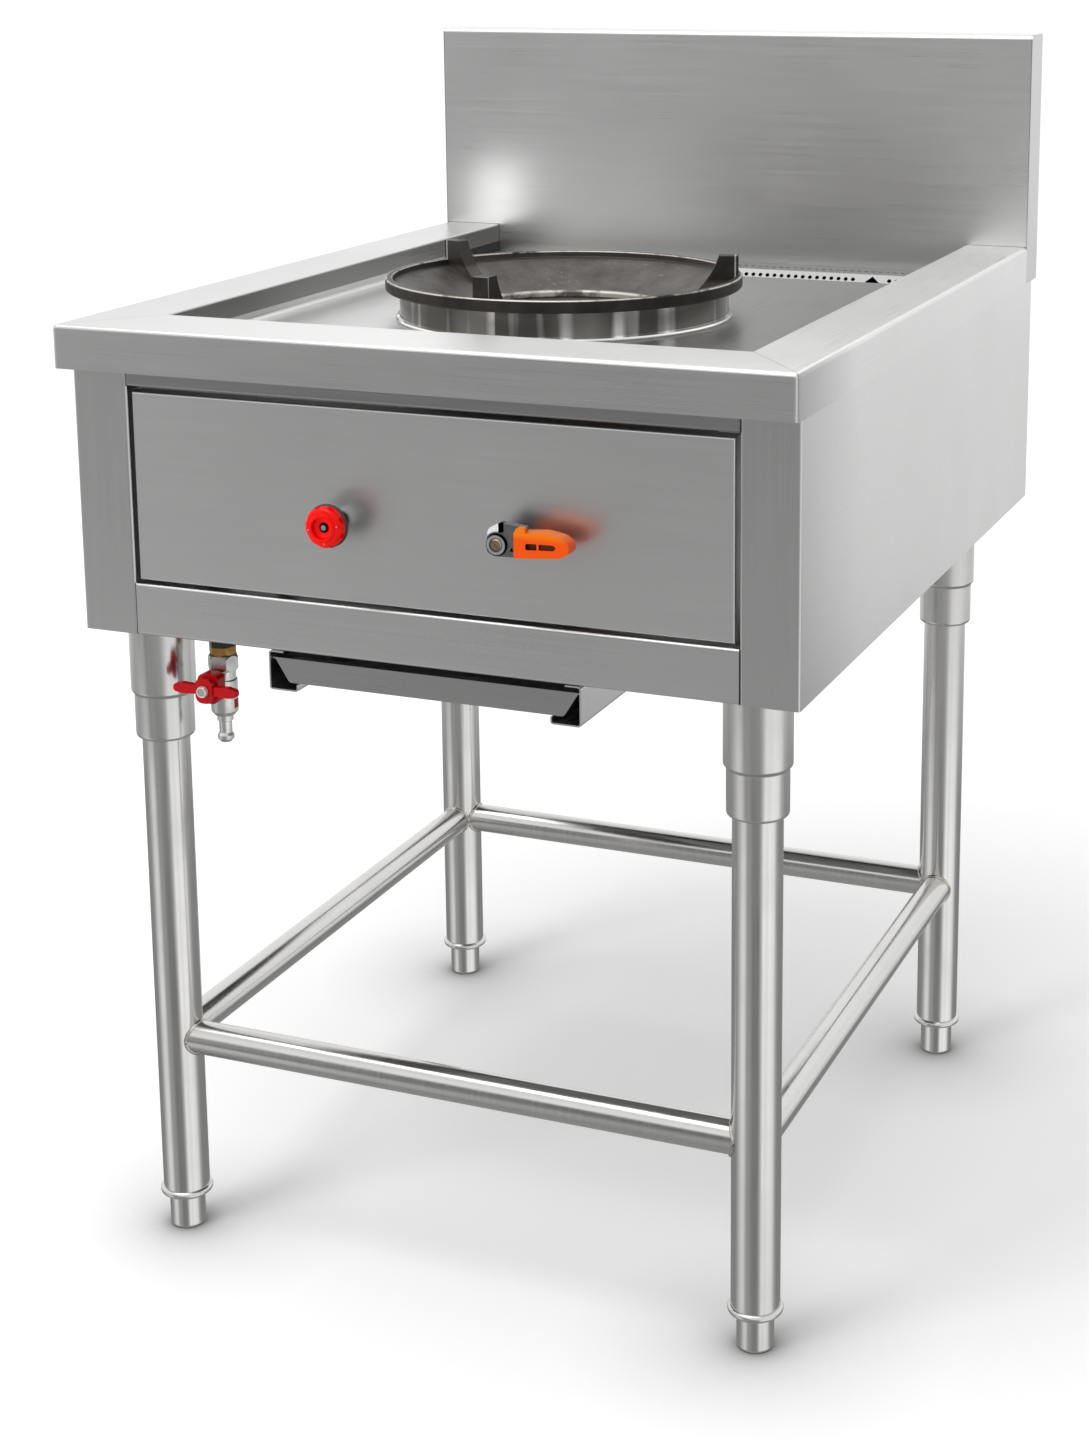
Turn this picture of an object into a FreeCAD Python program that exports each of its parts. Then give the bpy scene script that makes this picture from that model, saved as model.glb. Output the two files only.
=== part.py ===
import FreeCAD, Part
import math
import os

# Single-burner wok range on a tube stand, in millimetres.
# +Z is up, X runs across the front and -Y faces the cook. The origin is on the floor,
# under the middle of the whole range.

os.makedirs("parts", exist_ok=True)

V = FreeCAD.Vector

# ---------------------------------------------------------------- driving dimensions
width = 700.0
depth = 850.0
worktop_height = 900.0
knob_reach = 14.0            # how far the gas knob stands in front of the rim
sheet = 1.5

apron_height = 40.0
side_rim = 68.0
front_rim = 84.0
well_depth = 30.0
wall_seam = 20.0             # depth at which the well floor is welded to the rim's walls
rim_bend = 4.0

splash_height = 228.0
splash_depth = 50.0
splash_lip = 12.0

body_bottom = 615.0
body_inset_left = 9.0
body_inset_right = 2.0
body_inset_front = 16.0
body_inset_rear = 12.0
left_pillar_width = 55.5
right_pillar_width = 52.7
fold = 20.0                  # depth of the return folds round the front opening

rail_height = 48.0
panel_recess = 3.0
panel_gap = 3.0              # at the left and the bottom
wide_gap = 4.8               # at the right and the top
top_rail_drop = 15.0         # how far the top rail shows below the apron

burner_x = -14.0
burner_y = 375.0             # all "_y" places are measured back from the rim's front edge
ring_radius = 175.0
ring_top = 911.0
prong_top = 930.0
prong_width = 15.0
prong_angles = (18.0, 156.5, 266.5)
collar_radius = 161.5
throat_radius = 97.0
throat_top = 879.0

gutter_width = 113.0
gutter_depth = 36.5
hole_pitch = 8.25
hole_radius = 2.5

leg_x = 294.5
front_leg_y = 68.0
rear_leg_y = 694.0
leg_radius = 22.25
leg_wall = 1.5
brace_radius = 15.9
brace_height = 198.0
sleeve_upper_radius = 30.25
sleeve_lower_radius = 27.5
sleeve_step = 548.0
sleeve_bottom = 502.0
foot_radius = 17.0
foot_height = 33.8
collar_bead_radius = 25.2
collar_bottom = 34.2
collar_top = 41.2

gas_y = 60.0                 # plane of the gas pipe and of the inlet valve
control_z = 739.5
pilot_x = -75.0
burner_valve_x = 89.0
inlet_x = -224.0
manifold_z = 690.0
ball_z = 564.8
ball_radius = 9.0
ball_bore = 6.0
pipe_radius = 10.65
pipe_bore = 8.5
stem_radius = 4.5
knob_rear = -4.0             # back of the gas knob's cap and skirt, measured as "_y" is
running_gap = 0.05

tray_x = -2.0                # middle of the tray and its runners
tray_bottom = 582.2
tray_top = 603.5
tray_length = 560.0
tray_half_bottom = 134.0
tray_half_top = 147.5
runner_half = 152.0
runner_bottom = 575.4
runner_top = 612.0

# ---------------------------------------------------------------- derived places
half_width = width / 2.0
front = knob_reach - (depth + knob_reach) / 2.0
back = front + depth
top = worktop_height
apron_bottom = top - apron_height
splash_front = back - splash_depth
splash_top = top + splash_height

well_left = side_rim - half_width
well_right = half_width - side_rim
well_front = front + front_rim
well_floor_z = top - well_depth
wall_bottom = top - wall_seam
gutter_front = splash_front - gutter_width
gutter_bottom = well_floor_z - gutter_depth

body_left = body_inset_left - half_width
body_right = half_width - body_inset_right
body_front = front + body_inset_front
body_rear = back - body_inset_rear
pillar_left = body_left + left_pillar_width
pillar_right = body_right - right_pillar_width
rail_top = body_bottom + rail_height
opening_top = apron_bottom - top_rail_drop
panel_front = body_front + panel_recess
panel_bottom = rail_top + panel_gap
panel_top = opening_top - wide_gap

burner_axis = V(burner_x, front + burner_y, 0)
gas_plane = front + gas_y
leg_places = {
    "front_left": V(-leg_x, front + front_leg_y, 0),
    "front_right": V(leg_x, front + front_leg_y, 0),
    "rear_left": V(-leg_x, front + rear_leg_y, 0),
    "rear_right": V(leg_x, front + rear_leg_y, 0),
}


# ---------------------------------------------------------------- shape helpers
def box(x0, y0, z0, x1, y1, z1):
    """A block between two opposite corners."""
    return Part.makeBox(x1 - x0, y1 - y0, z1 - z0, V(x0, y0, z0))


def rod(radius, start, end):
    """A solid cylinder from one point to another."""
    return Part.makeCylinder(radius, (end - start).Length, start, end - start)


def pipe(outer, inner, start, end):
    """A straight tube."""
    return rod(outer, start, end).cut(rod(inner, start, end))


def prism_nut(across_flats, start, end, turn=0.0):
    """A hexagonal bar along the line from start to end, with its corners bevelled."""
    corner = across_flats / math.sqrt(3.0)
    length = (end - start).Length
    points = []
    for i in range(7):
        angle = math.radians(60.0 * i + turn)
        points.append(V(corner * math.cos(angle), corner * math.sin(angle), 0))
    bar = Part.Face(Part.makePolygon(points)).extrude(V(0, 0, length))
    bevel = 0.12 * across_flats
    half = across_flats / 2.0
    barrel = spin([(0, 0, 0), (half, 0, 0), (corner, bevel, 0), (corner, length - bevel, 0),
                   (half, length, 0), (0, length, 0)], V(0, 0, 0), V(0, 0, 1))
    return placed_along(bar.common(barrel), start, end - start)


def placed_along(shape, base, direction):
    """Move a shape built along +Z from the origin to stand at base along direction."""
    shape.Placement = FreeCAD.Placement(base, FreeCAD.Rotation(V(0, 0, 1), direction))
    return shape


def rounded_edges(corners, smallest_arc):
    """Edges of a closed outline of (u, v, radius) corners. Radii under smallest_arc are cut straight."""
    count = len(corners)
    points = [V(u, v, 0) for u, v, radius in corners]
    starts = []
    ends = []
    middles = []
    for i, (u, v, radius) in enumerate(corners):
        here = points[i]
        if radius <= 0:
            starts.append(here)
            ends.append(here)
            middles.append(None)
            continue
        before = (points[i - 1] - here).normalize()
        after = (points[(i + 1) % count] - here).normalize()
        half_angle = before.getAngle(after) / 2.0
        reach = radius / math.tan(half_angle)
        inward = (before + after).normalize()
        centre = here + inward * (radius / math.sin(half_angle))
        starts.append(here + before * reach)
        ends.append(here + after * reach)
        middles.append(centre - inward * radius if radius >= smallest_arc else None)
    edges = []
    for i in range(count):
        if middles[i] is not None:
            edges.append(Part.Arc(starts[i], middles[i], ends[i]).toShape())
        elif corners[i][2] > 0:
            edges.append(Part.LineSegment(starts[i], ends[i]).toShape())
        following = starts[(i + 1) % count]
        if (following - ends[i]).Length > 1e-6:
            edges.append(Part.LineSegment(ends[i], following).toShape())
    return edges


def outline(corners, smallest_arc=0.0):
    """A flat face inside a closed outline of (u, v, radius) corners, in the XY plane."""
    return Part.Face(Part.Wire(rounded_edges(corners, smallest_arc)))


def extruded_z(corners, z0, z1):
    """An outline in X and Y, raised from z0 to z1."""
    solid = outline(corners).extrude(V(0, 0, z1 - z0))
    solid.translate(V(0, 0, z0))
    return solid


def extruded_x(corners, x0, x1):
    """An outline in Y and Z, run from x0 to x1."""
    solid = outline(corners).extrude(V(0, 0, x1 - x0))
    solid.Placement = FreeCAD.Placement(V(x0, 0, 0), FreeCAD.Rotation(V(0, 1, 0), V(0, 0, 1), V(1, 0, 0)))
    return solid


def extruded_y(corners, y0, y1):
    """An outline in X and Z, run from y0 to y1."""
    solid = outline(corners).extrude(V(0, 0, y0 - y1))
    solid.Placement = FreeCAD.Placement(V(0, y0, 0), FreeCAD.Rotation(V(1, 0, 0), 90))
    return solid


def spin(corners, base, axis):
    """Turn an outline of (radius, height, corner radius) about an axis. Its small corners are bevels."""
    face = outline(corners, 2.1)
    face.rotate(V(0, 0, 0), V(1, 0, 0), 90)
    solid = face.revolve(V(0, 0, 0), V(0, 0, 1), 360)
    if not solid.isValid() or solid.Volume < 0:
        solid.fix(1e-4, 1e-4, 1e-4)
    return placed_along(solid, base, axis)


def folded(path, thickness, bend):
    """Outline of a folded sheet: the path is one face, and the sheet lies to its left."""
    face_side = []
    other_side = []
    count = len(path)
    directions = []
    for (u0, v0), (u1, v1) in zip(path, path[1:]):
        length = math.hypot(u1 - u0, v1 - v0)
        directions.append(((u1 - u0) / length, (v1 - v0) / length))
    for i, (u, v) in enumerate(path):
        before = directions[max(i - 1, 0)]
        after = directions[min(i, count - 2)]
        normal = (-(before[1] + after[1]), before[0] + after[0])
        scale = thickness / (1.0 + before[0] * after[0] + before[1] * after[1])
        turn = before[0] * after[1] - before[1] * after[0]
        if abs(turn) < 1e-9:
            near, far = 0.0, 0.0
        elif turn > 0:
            near, far = bend + thickness, bend
        else:
            near, far = bend, bend + thickness
        face_side.append((u, v, near))
        other_side.append((u + normal[0] * scale, v + normal[1] * scale, far))
    return face_side + other_side[::-1]


def edges_at(shape, places):
    """The edges of a shape whose middles are at the given places."""
    found = []
    for edge in shape.Edges:
        if any((edge.CenterOfMass - place).Length < 0.01 for place in places):
            found.append(edge)
    if len(found) != len(places):
        raise ValueError("%d edges found for %d places" % (len(found), len(places)))
    return found


def bent_path(points, bend):
    """A wire of straight runs joined by arcs of one radius."""
    edges = []
    last = points[0]
    for i in range(1, len(points) - 1):
        before = (points[i - 1] - points[i]).normalize()
        after = (points[i + 1] - points[i]).normalize()
        half_angle = before.getAngle(after) / 2.0
        reach = bend / math.tan(half_angle)
        inward = (before + after).normalize()
        centre = points[i] + inward * (bend / math.sin(half_angle))
        arc_start = points[i] + before * reach
        arc_end = points[i] + after * reach
        edges.append(Part.LineSegment(last, arc_start).toShape())
        edges.append(Part.Arc(arc_start, centre - inward * bend, arc_end).toShape())
        last = arc_end
    edges.append(Part.LineSegment(last, points[-1]).toShape())
    return Part.Wire(edges)


def swept_rod(path, radius, points):
    """A round rod along a path."""
    circle = Part.Wire(Part.makeCircle(radius, points[0], points[1] - points[0]))
    return path.makePipeShell([circle], True, False)


def bent_pipe(points, bend, outer, inner):
    """A tube along straight runs joined by arcs."""
    path = bent_path(points, bend)
    return swept_rod(path, outer, points).cut(swept_rod(path, inner, points))


def group(solids):
    """Several separate solids of one kind in one node."""
    return Part.makeCompound(solids)


def one_solid(shape):
    """The single solid of a shape, cleaned of leftover seams."""
    solids = shape.removeSplitter().Solids
    if len(solids) != 1:
        raise ValueError("%d solids where one is meant" % len(solids))
    return solids[0]


# ---------------------------------------------------------------- worktop
def worktop_rim():
    """The rim, with its turned-down apron and the walls of the sunken well."""
    mid_y = (front + splash_front) / 2.0
    mid_z = (apron_bottom + top) / 2.0

    def bend_lines(x, y, y_middle, z, z_middle):
        return [V(0, y, z), V(-x, y_middle, z), V(x, y_middle, z), V(-x, y, z_middle), V(x, y, z_middle)]

    outer = box(-half_width, front, apron_bottom, half_width, splash_front, top)
    outer = outer.makeFillet(rim_bend, edges_at(outer, bend_lines(half_width, front, mid_y, top, mid_z)))
    inner = box(sheet - half_width, front + sheet, apron_bottom,
                half_width - sheet, splash_front, top - sheet)
    inside_y = (front + sheet + splash_front) / 2.0
    inside = bend_lines(half_width - sheet, front + sheet, inside_y, top - sheet, mid_z - sheet / 2)
    inner = inner.makeFillet(rim_bend - sheet, edges_at(inner, inside))
    rim = outer.cut(inner)
    walls = box(well_left - sheet, well_front - sheet, wall_bottom,
                well_right + sheet, splash_front, top - sheet)
    front_lip = box(sheet - half_width, front + sheet, apron_bottom,
                    half_width - sheet, body_front - 1.0, apron_bottom + sheet)
    rim = rim.fuse([walls, front_lip])
    opening = box(well_left, well_front, wall_bottom - 1, well_right, splash_front + 1, top + 1)
    rim = rim.cut(opening).removeSplitter()
    well_y = (well_front + splash_front) / 2.0
    rim_edge = [V(0, well_front, top), V(well_left, well_y, top), V(well_right, well_y, top)]
    return one_solid(rim.makeFillet(sheet + 1.0, edges_at(rim, rim_edge)))


def well_floor():
    """The floor of the well, coved up to its walls and turned down into the gutter."""
    cove = 6.0
    under = well_floor_z - sheet
    outer = box(well_left - sheet, well_front - sheet, under, well_right + sheet, gutter_front, wall_bottom)
    mid_outer = (well_front - sheet + gutter_front) / 2.0
    cove_lines = [V(0, well_front - sheet, under), V(well_left - sheet, mid_outer, under),
                  V(well_right + sheet, mid_outer, under)]
    outer = outer.makeFillet(cove + sheet, edges_at(outer, cove_lines))
    inner = box(well_left, well_front, well_floor_z, well_right, gutter_front, wall_bottom)
    mid_inner = (well_front + gutter_front) / 2.0
    cove_lines = [V(0, well_front, well_floor_z), V(well_left, mid_inner, well_floor_z),
                  V(well_right, mid_inner, well_floor_z)]
    inner = inner.makeFillet(cove, edges_at(inner, cove_lines))
    floor = outer.cut(inner)
    drop = box(well_left, gutter_front - sheet, under - 10, well_right, gutter_front, well_floor_z)
    drop = drop.makeFillet(1.4, edges_at(drop, [V(0, gutter_front, well_floor_z)]))
    cut_back = box(well_left, gutter_front - sheet, under - 1,
                   well_right, gutter_front + 1, well_floor_z + 0.5)
    floor = floor.cut(cut_back).fuse(drop)
    hole = rod(collar_radius - sheet, burner_axis + V(0, 0, under - 1), burner_axis + V(0, 0, top))
    return one_solid(floor.cut(hole))


def gutter_outlet_place():
    """Middle of the drain hole in the gutter's floor."""
    return V(well_right - 62.0, (gutter_front + splash_front) / 2.0, gutter_bottom)


def drain_gutter():
    """The trough along the back of the well, with its side walls up to the rim's walls."""
    sill = well_floor_z - 4.0
    trough = box(well_left - sheet, gutter_front, gutter_bottom - sheet,
                 well_right + sheet, splash_front + sheet, sill)
    trough = trough.cut(box(well_left, gutter_front + sheet, gutter_bottom,
                            well_right, splash_front, sill + 1))
    front_wall = box(well_left, gutter_front, sill, well_right, gutter_front + sheet, well_floor_z - sheet)
    parts = [front_wall]
    for x in (well_left - sheet, well_right):
        parts.append(box(x, gutter_front, sill, x + sheet, splash_front, wall_bottom))
    trough = trough.fuse(parts)
    place = gutter_outlet_place()
    return one_solid(trough.cut(rod(11.5, place - V(0, 0, 5), place + V(0, 0, 5))))


def drain_outlet():
    """The tailpipe under the gutter, with its flange."""
    place = gutter_outlet_place() - V(0, 0, sheet)
    profile = [(11.5, 0, 0), (24.0, 0, 0), (24.0, -2.0, 0.8),
               (13.45, -2.0, 2.0), (13.45, -62.0, 0), (11.5, -62.0, 0)]
    return spin(profile, place, V(0, 0, 1))


def strainer():
    """The perforated cover of the gutter: a level shelf and a sloping face. It lifts out."""
    thickness = 1.2
    shelf_back = splash_front - 0.6
    face_y = splash_front - 48.0
    shelf_top = well_floor_z - 1.0
    foot = gutter_bottom + 1.1
    foot_y = face_y - 24.5
    left = well_left + 1.0
    right = well_right - 1.0
    path = [(shelf_back, shelf_top), (face_y, shelf_top), (foot_y, foot)]
    cover = extruded_x(folded(path, thickness, 1.3), left, right)
    down_face = V(0, foot_y - face_y, foot - shelf_top).normalize()
    into_face = V(0, -down_face.z, down_face.y)
    face_row = V(0, face_y, shelf_top) + down_face * 7.0 - into_face * 3.0
    count = int((right - left - 2 * hole_pitch) / hole_pitch)
    start = -hole_pitch * (count - 1) / 2.0
    notch_x = 191.0
    notch_half = 12.0
    cutters = []
    for i in range(count):
        x = start + i * hole_pitch
        cutters.append(hexagon_cutter(V(x, face_y + 20.0, shelf_top - 3.0), V(0, 0, 6)))
        if abs(x - notch_x) > notch_half + hole_radius:
            cutters.append(hexagon_cutter(V(x, 0, 0) + face_row, into_face * 6.0))
    notch = [(notch_x - notch_half, foot - 1, 0), (notch_x + notch_half, foot - 1, 0),
             (notch_x + notch_half, shelf_top - 11.0, 0), (notch_x, shelf_top - 2.0, 0),
             (notch_x - notch_half, shelf_top - 11.0, 0)]
    cutters.append(extruded_y(notch, foot_y - 5.0, face_y + 4.0))
    for i in range(-5, 6):
        x = i * 50.0
        cutters.append(box(x - 14.0, foot_y - 5.0, foot - 1.0, x + 14.0, foot_y + 10.0, foot + 6.0))
    return one_solid(cover.cut(cutters))


def hexagon_cutter(base, reach):
    """A six-sided bar for one small round hole."""
    points = []
    side = V(1, 0, 0)
    other = reach.cross(side).normalize()
    for i in range(7):
        angle = math.radians(60.0 * i)
        points.append(base + side * (hole_radius * math.cos(angle)) + other * (hole_radius * math.sin(angle)))
    return Part.Face(Part.makePolygon(points)).extrude(reach)


def splashback():
    """The folded upstand at the rear, with flanges down to the apron's lower edge."""
    bend = 5.0
    outer = box(-half_width, splash_front, apron_bottom, half_width, back, splash_top)
    outer = outer.makeFillet(bend, edges_at(outer, [V(0, splash_front, splash_top)]))
    inner = box(sheet - half_width, splash_front + sheet, apron_bottom,
                half_width - sheet, back - sheet, splash_top - sheet)
    inner = inner.makeFillet(bend - sheet, edges_at(inner, [V(0, splash_front + sheet, splash_top - sheet)]))
    back_window = box(splash_lip - half_width, back - 2 * sheet, apron_bottom - 1,
                      half_width - splash_lip, back + 1, splash_top - splash_lip)
    sill = well_floor_z - 4.0
    left_foot = box(sheet - half_width, splash_front - 1, apron_bottom - 1,
                    well_left - sheet, splash_front + sheet, top - sheet)
    right_foot = box(well_right + sheet, splash_front - 1, apron_bottom - 1,
                     half_width - sheet, splash_front + sheet, top - sheet)
    under = box(well_left - sheet, splash_front - 1, apron_bottom - 1,
                well_right + sheet, splash_front + sheet, sill)
    return one_solid(outer.cut([inner, back_window, left_foot, right_foot, under]))


def splashback_back():
    """The flat sheet that closes the splashback from behind, inside its lips."""
    return box(sheet + 0.2 - half_width, back - 2 * sheet, apron_bottom, half_width - sheet - 0.2,
               back - sheet, splash_top - sheet - 0.2)


# ---------------------------------------------------------------- body
def left_side_panel():
    """Left side with its pillar and bottom fold."""
    path = [(pillar_left, body_front + fold), (pillar_left, body_front), (body_left, body_front),
            (body_left, body_rear), (body_left + fold, body_rear)]
    side = extruded_z(folded(path[::-1], sheet, 1.0), body_bottom, top - sheet)
    bottom = box(body_left + sheet, body_front + fold, body_bottom,
                 body_left + 15.0, body_rear - sheet, body_bottom + sheet)
    return one_solid(side.fuse(bottom))


def right_side_panel():
    """Right side with its pillar and bottom fold."""
    path = [(pillar_right, body_front + fold), (pillar_right, body_front), (body_right, body_front),
            (body_right, body_rear), (body_right - fold, body_rear)]
    side = extruded_z(folded(path, sheet, 1.0), body_bottom, top - sheet)
    bottom = box(body_right - 15.0, body_front + fold, body_bottom,
                 body_right - sheet, body_rear - sheet, body_bottom + sheet)
    bend_room = box(body_right - 2 * sheet, body_front - 1.0, top - rim_bend,
                    half_width, body_rear + 1.0, top)
    return one_solid(side.fuse(bottom).cut(bend_room))


def rear_panel():
    """The rear sheet, with folds at its top and bottom."""
    inner = body_rear - 2 * sheet
    low = body_bottom + sheet
    high = apron_bottom - 4.0
    path = [(inner - 15.0, low), (inner + sheet, low), (inner + sheet, high), (inner - 15.0, high)]
    corner_room = sheet + 1.2
    return extruded_x(folded(path, sheet, 1.0), body_left + corner_room, body_right - corner_room)


def top_rail():
    """The strip over the front opening, folded back under."""
    path = [(body_front + fold, opening_top), (body_front, opening_top), (body_front, top - sheet)]
    return extruded_x(folded(path[::-1], sheet, 1.0), pillar_left, pillar_right)


def bottom_rail():
    """The channel under the front opening."""
    path = [(body_front + fold, body_bottom), (body_front, body_bottom),
            (body_front, rail_top), (body_front + fold, rail_top)]
    return extruded_x(folded(path[::-1], sheet, 1.0), pillar_left, pillar_right)


def front_panel():
    """The service panel that carries the gas controls, a shallow pan with rounded edges."""
    left = pillar_left + panel_gap
    right = pillar_right - wide_gap
    pan_depth = 18.0
    rear = panel_front + pan_depth
    mid_x = (left + right) / 2.0
    mid_z = (panel_bottom + panel_top) / 2.0
    outer = box(left, panel_front, panel_bottom, right, rear, panel_top)
    outer = outer.makeFillet(2.2, edges_at(outer, [
        V(mid_x, panel_front, panel_bottom), V(mid_x, panel_front, panel_top),
        V(left, panel_front, mid_z), V(right, panel_front, mid_z)]))
    inner = box(left + sheet, panel_front + sheet, panel_bottom + sheet,
                right - sheet, rear + 1, panel_top - sheet)
    panel = outer.cut(inner)
    holes = []
    for x in (pilot_x, burner_valve_x):
        holes.append(rod(8.0, V(x, front, control_z), V(x, gas_plane, control_z)))
    return one_solid(panel.cut(holes))


def under_frame():
    """The welded angle frame inside the bottom of the body."""
    wall = 3.0
    leg = 30.0
    low = body_bottom + 7.0
    x0 = body_left + sheet
    x1 = body_right - sheet
    y0 = body_front + fold + 0.5
    y1 = body_rear - 2 * sheet
    ring = box(x0, y0, low, x1, y1, low + leg)
    ring = ring.cut(box(x0 + wall, y0 + wall, low + wall, x1 - wall, y1 - wall, low + leg + 1))
    middle = box(x0 + leg, y0 + leg, low - 1, x1 - leg, y1 - leg, low + leg)
    pipe_notch = rod(pipe_radius + 3.0, V(inlet_x, gas_plane, low - 1), V(inlet_x, gas_plane, low + leg))
    return one_solid(ring.cut([middle, pipe_notch]))


def leg_plates():
    """The four plates that the leg sleeves are welded to."""
    reach = 52.0
    solids = []
    for place in leg_places.values():
        side = 1.0 if place.x > 0 else -1.0
        edge_x = body_right - sheet if side > 0 else body_left + sheet
        inner_x = place.x - side * reach
        y0 = max(place.y - reach, body_front + fold + 0.5)
        y1 = place.y + reach
        corners = [(edge_x, y0, 0), (edge_x, y1, 0), (inner_x, y1, 18.0), (inner_x, y0, 18.0)]
        solids.append(extruded_z(corners, body_bottom + sheet, body_bottom + 7.0))
    return group(solids)


def tray_crossbars():
    """The two channels across the underside that carry the tray's runners."""
    bars = []
    low = runner_top
    high = body_bottom + 7.0
    for y in (front + 175.0, front + 560.0):
        path = [(y - 20.0, low), (y - 20.0, high), (y + 20.0, high), (y + 20.0, low)]
        bars.append(extruded_x(folded(path[::-1], 2.0, 1.0), body_left + 16.0, body_right - 16.0))
    return group(bars)


# ---------------------------------------------------------------- stand
def leg(place):
    """A leg tube, from its foot collar up into its sleeve."""
    return pipe(leg_radius, leg_radius - leg_wall, place + V(0, 0, collar_top), place + V(0, 0, 600.0))


def leg_sleeves():
    """The stepped sockets that take the legs under the body."""
    weld_plane = body_bottom + sheet
    bore = leg_radius + 0.1
    profile = [(bore, sleeve_bottom, 0), (bore, sleeve_step + 6.0, 0),
               (sleeve_upper_radius - 2.0, sleeve_step + 10.0, 0), (sleeve_upper_radius - 2.0, weld_plane, 0),
               (sleeve_upper_radius, weld_plane, 0), (sleeve_upper_radius, sleeve_step, 2.5),
               (sleeve_lower_radius, sleeve_step - 3.0, 1.5), (sleeve_lower_radius, sleeve_bottom, 4.0)]
    return group([spin(profile, place, V(0, 0, 1)) for place in leg_places.values()])


def leg_braces():
    """Four round braces, coped to the legs; the side ones are coped to the front and rear ones too."""
    lift = V(0, 0, brace_height)
    pairs = [("front_left", "front_right"), ("rear_left", "rear_right"),
             ("front_left", "rear_left"), ("front_right", "rear_right")]
    posts = [rod(leg_radius, place, place + V(0, 0, sleeve_bottom)) for place in leg_places.values()]
    crossing = []
    bars = []
    for first, second in pairs:
        start = leg_places[first] + lift
        end = leg_places[second] + lift
        bar = pipe(brace_radius, brace_radius - leg_wall, start, end).cut(posts)
        if len(bars) > 1:
            bar = bar.cut(crossing)
        bars.append(max(bar.Solids, key=lambda solid: solid.Volume))
        crossing.append(rod(brace_radius, start, end))
    return group(bars)


def foot_collars():
    """The plugs in the ends of the legs, each with its rounded collar and threaded bore."""
    solids = []
    for place in leg_places.values():
        bore = 8.0 + running_gap
        plug = leg_radius - leg_wall
        profile = [(bore, collar_bottom, 0), (collar_bead_radius, collar_bottom, 3.2),
                   (collar_bead_radius, collar_top, 3.2), (plug, collar_top, 0),
                   (plug, collar_top + 33.0, 1.0), (bore, collar_top + 33.0, 0)]
        solids.append(spin(profile, place, V(0, 0, 1)))
    return group(solids)


def foot(place):
    """A screw foot: a round-edged cylinder on its threaded stem."""
    profile = [(0, 0, 0), (foot_radius, 0, 3.0), (foot_radius, foot_height, 0.8), (8.0, foot_height, 0),
               (8.0, foot_height + 58.0, 1.5), (0, foot_height + 58.0, 0)]
    return spin(profile, place, V(0, 0, 1))


# ---------------------------------------------------------------- burner
def burner_collar():
    """The polished collar round the burner hole, rolled at its top and beaded at its foot."""
    ring_seat = 899.0
    inner = collar_radius - sheet
    profile = [(inner, well_floor_z, 0), (collar_radius + 4.0, well_floor_z, 1.4),
               (collar_radius + 4.0, well_floor_z + 3.2, 1.4), (collar_radius, well_floor_z + 4.5, 0.5),
               (collar_radius, ring_seat, 1.0), (inner - 1.5, ring_seat, 0),
               (inner - 1.5, ring_seat - sheet, 0), (inner, ring_seat - sheet, 0)]
    return spin(profile, burner_axis, V(0, 0, 1))


def wok_ring():
    """The cast ring: outer band, sloping dish with its throat, and three pan prongs."""
    seat = 899.0
    dish_rim = 167.0
    dish_high = 905.0
    slope = (dish_high - throat_top) / (dish_rim - throat_radius)

    def dish(radius):
        return dish_high - slope * (dish_rim - radius)

    profile = [(ring_radius, seat, 1.5), (ring_radius, ring_top, 1.2), (dish_rim + 1.2, ring_top, 0.8),
               (dish_rim, dish_high, 1.0), (throat_radius, throat_top, 2.5),
               (throat_radius, throat_top - 8.0, 2.0), (148.0, dish(148.0) - 7.0, 3.0),
               (152.0, seat - 7.0, 0), (157.5, seat - 7.0, 0), (157.5, seat, 0)]
    ring = spin(profile, burner_axis, V(0, 0, 1))
    prong_foot = 112.0
    prong_inner = 152.0
    prong_outer = 171.0
    high_end = V(prong_outer, prong_top, 0)
    high_start = V(prong_inner, prong_top, 0)
    bow = V(134.5, dish(prong_foot) + 15.5, 0)
    foot = V(prong_foot, dish(prong_foot), 0)
    edges = [Part.LineSegment(high_end, high_start).toShape(), Part.Arc(high_start, bow, foot).toShape()]
    buried = [foot, V(prong_foot + 1.0, dish(prong_foot) - 3.5, 0), V(150.0, dish(150.0) - 3.5, 0),
              V(157.5, seat + 1.3, 0), V(prong_outer, seat + 2.5, 0), high_end]
    edges += [Part.LineSegment(start, end).toShape() for start, end in zip(buried, buried[1:])]
    blade = Part.Face(Part.Wire(edges)).extrude(V(0, 0, prong_width))
    blade.translate(V(0, 0, -prong_width / 2.0))
    blade.rotate(V(0, 0, 0), V(1, 0, 0), 90)
    prongs = []
    for angle in prong_angles:
        prong = blade.copy()
        prong.rotate(V(0, 0, 0), V(0, 0, 1), angle)
        prong.translate(burner_axis)
        prongs.append(prong)
    return one_solid(ring.fuse(prongs))


def burner_chamber():
    """The open drum that hangs from the well floor round the flame."""
    outer = 157.0
    low = 760.0
    high = well_floor_z - sheet
    profile = [(outer - sheet, low + sheet, 0), (outer - sheet, high, 0), (172.0, high, 0),
               (172.0, high - sheet, 0), (outer, high - sheet, 0), (outer, low, 1.5),
               (115.0, low, 0), (115.0, low + sheet, 0)]
    return spin(profile, burner_axis, V(0, 0, 1))


def burner_bracket():
    """The flat bar under the drum that carries the burner."""
    low = 756.0
    high = 760.0
    y = burner_axis.y
    left = burner_x - 150.0
    right = burner_x + 150.0
    corners = [(left, y - 30.0, 6.0), (right, y - 30.0, 6.0), (right, y + 30.0, 6.0), (left, y + 30.0, 6.0)]
    bar = extruded_z(corners, low, high)
    return bar.cut(rod(21.0, burner_axis + V(0, 0, low - 1), burner_axis + V(0, 0, high + 1)))


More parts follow.
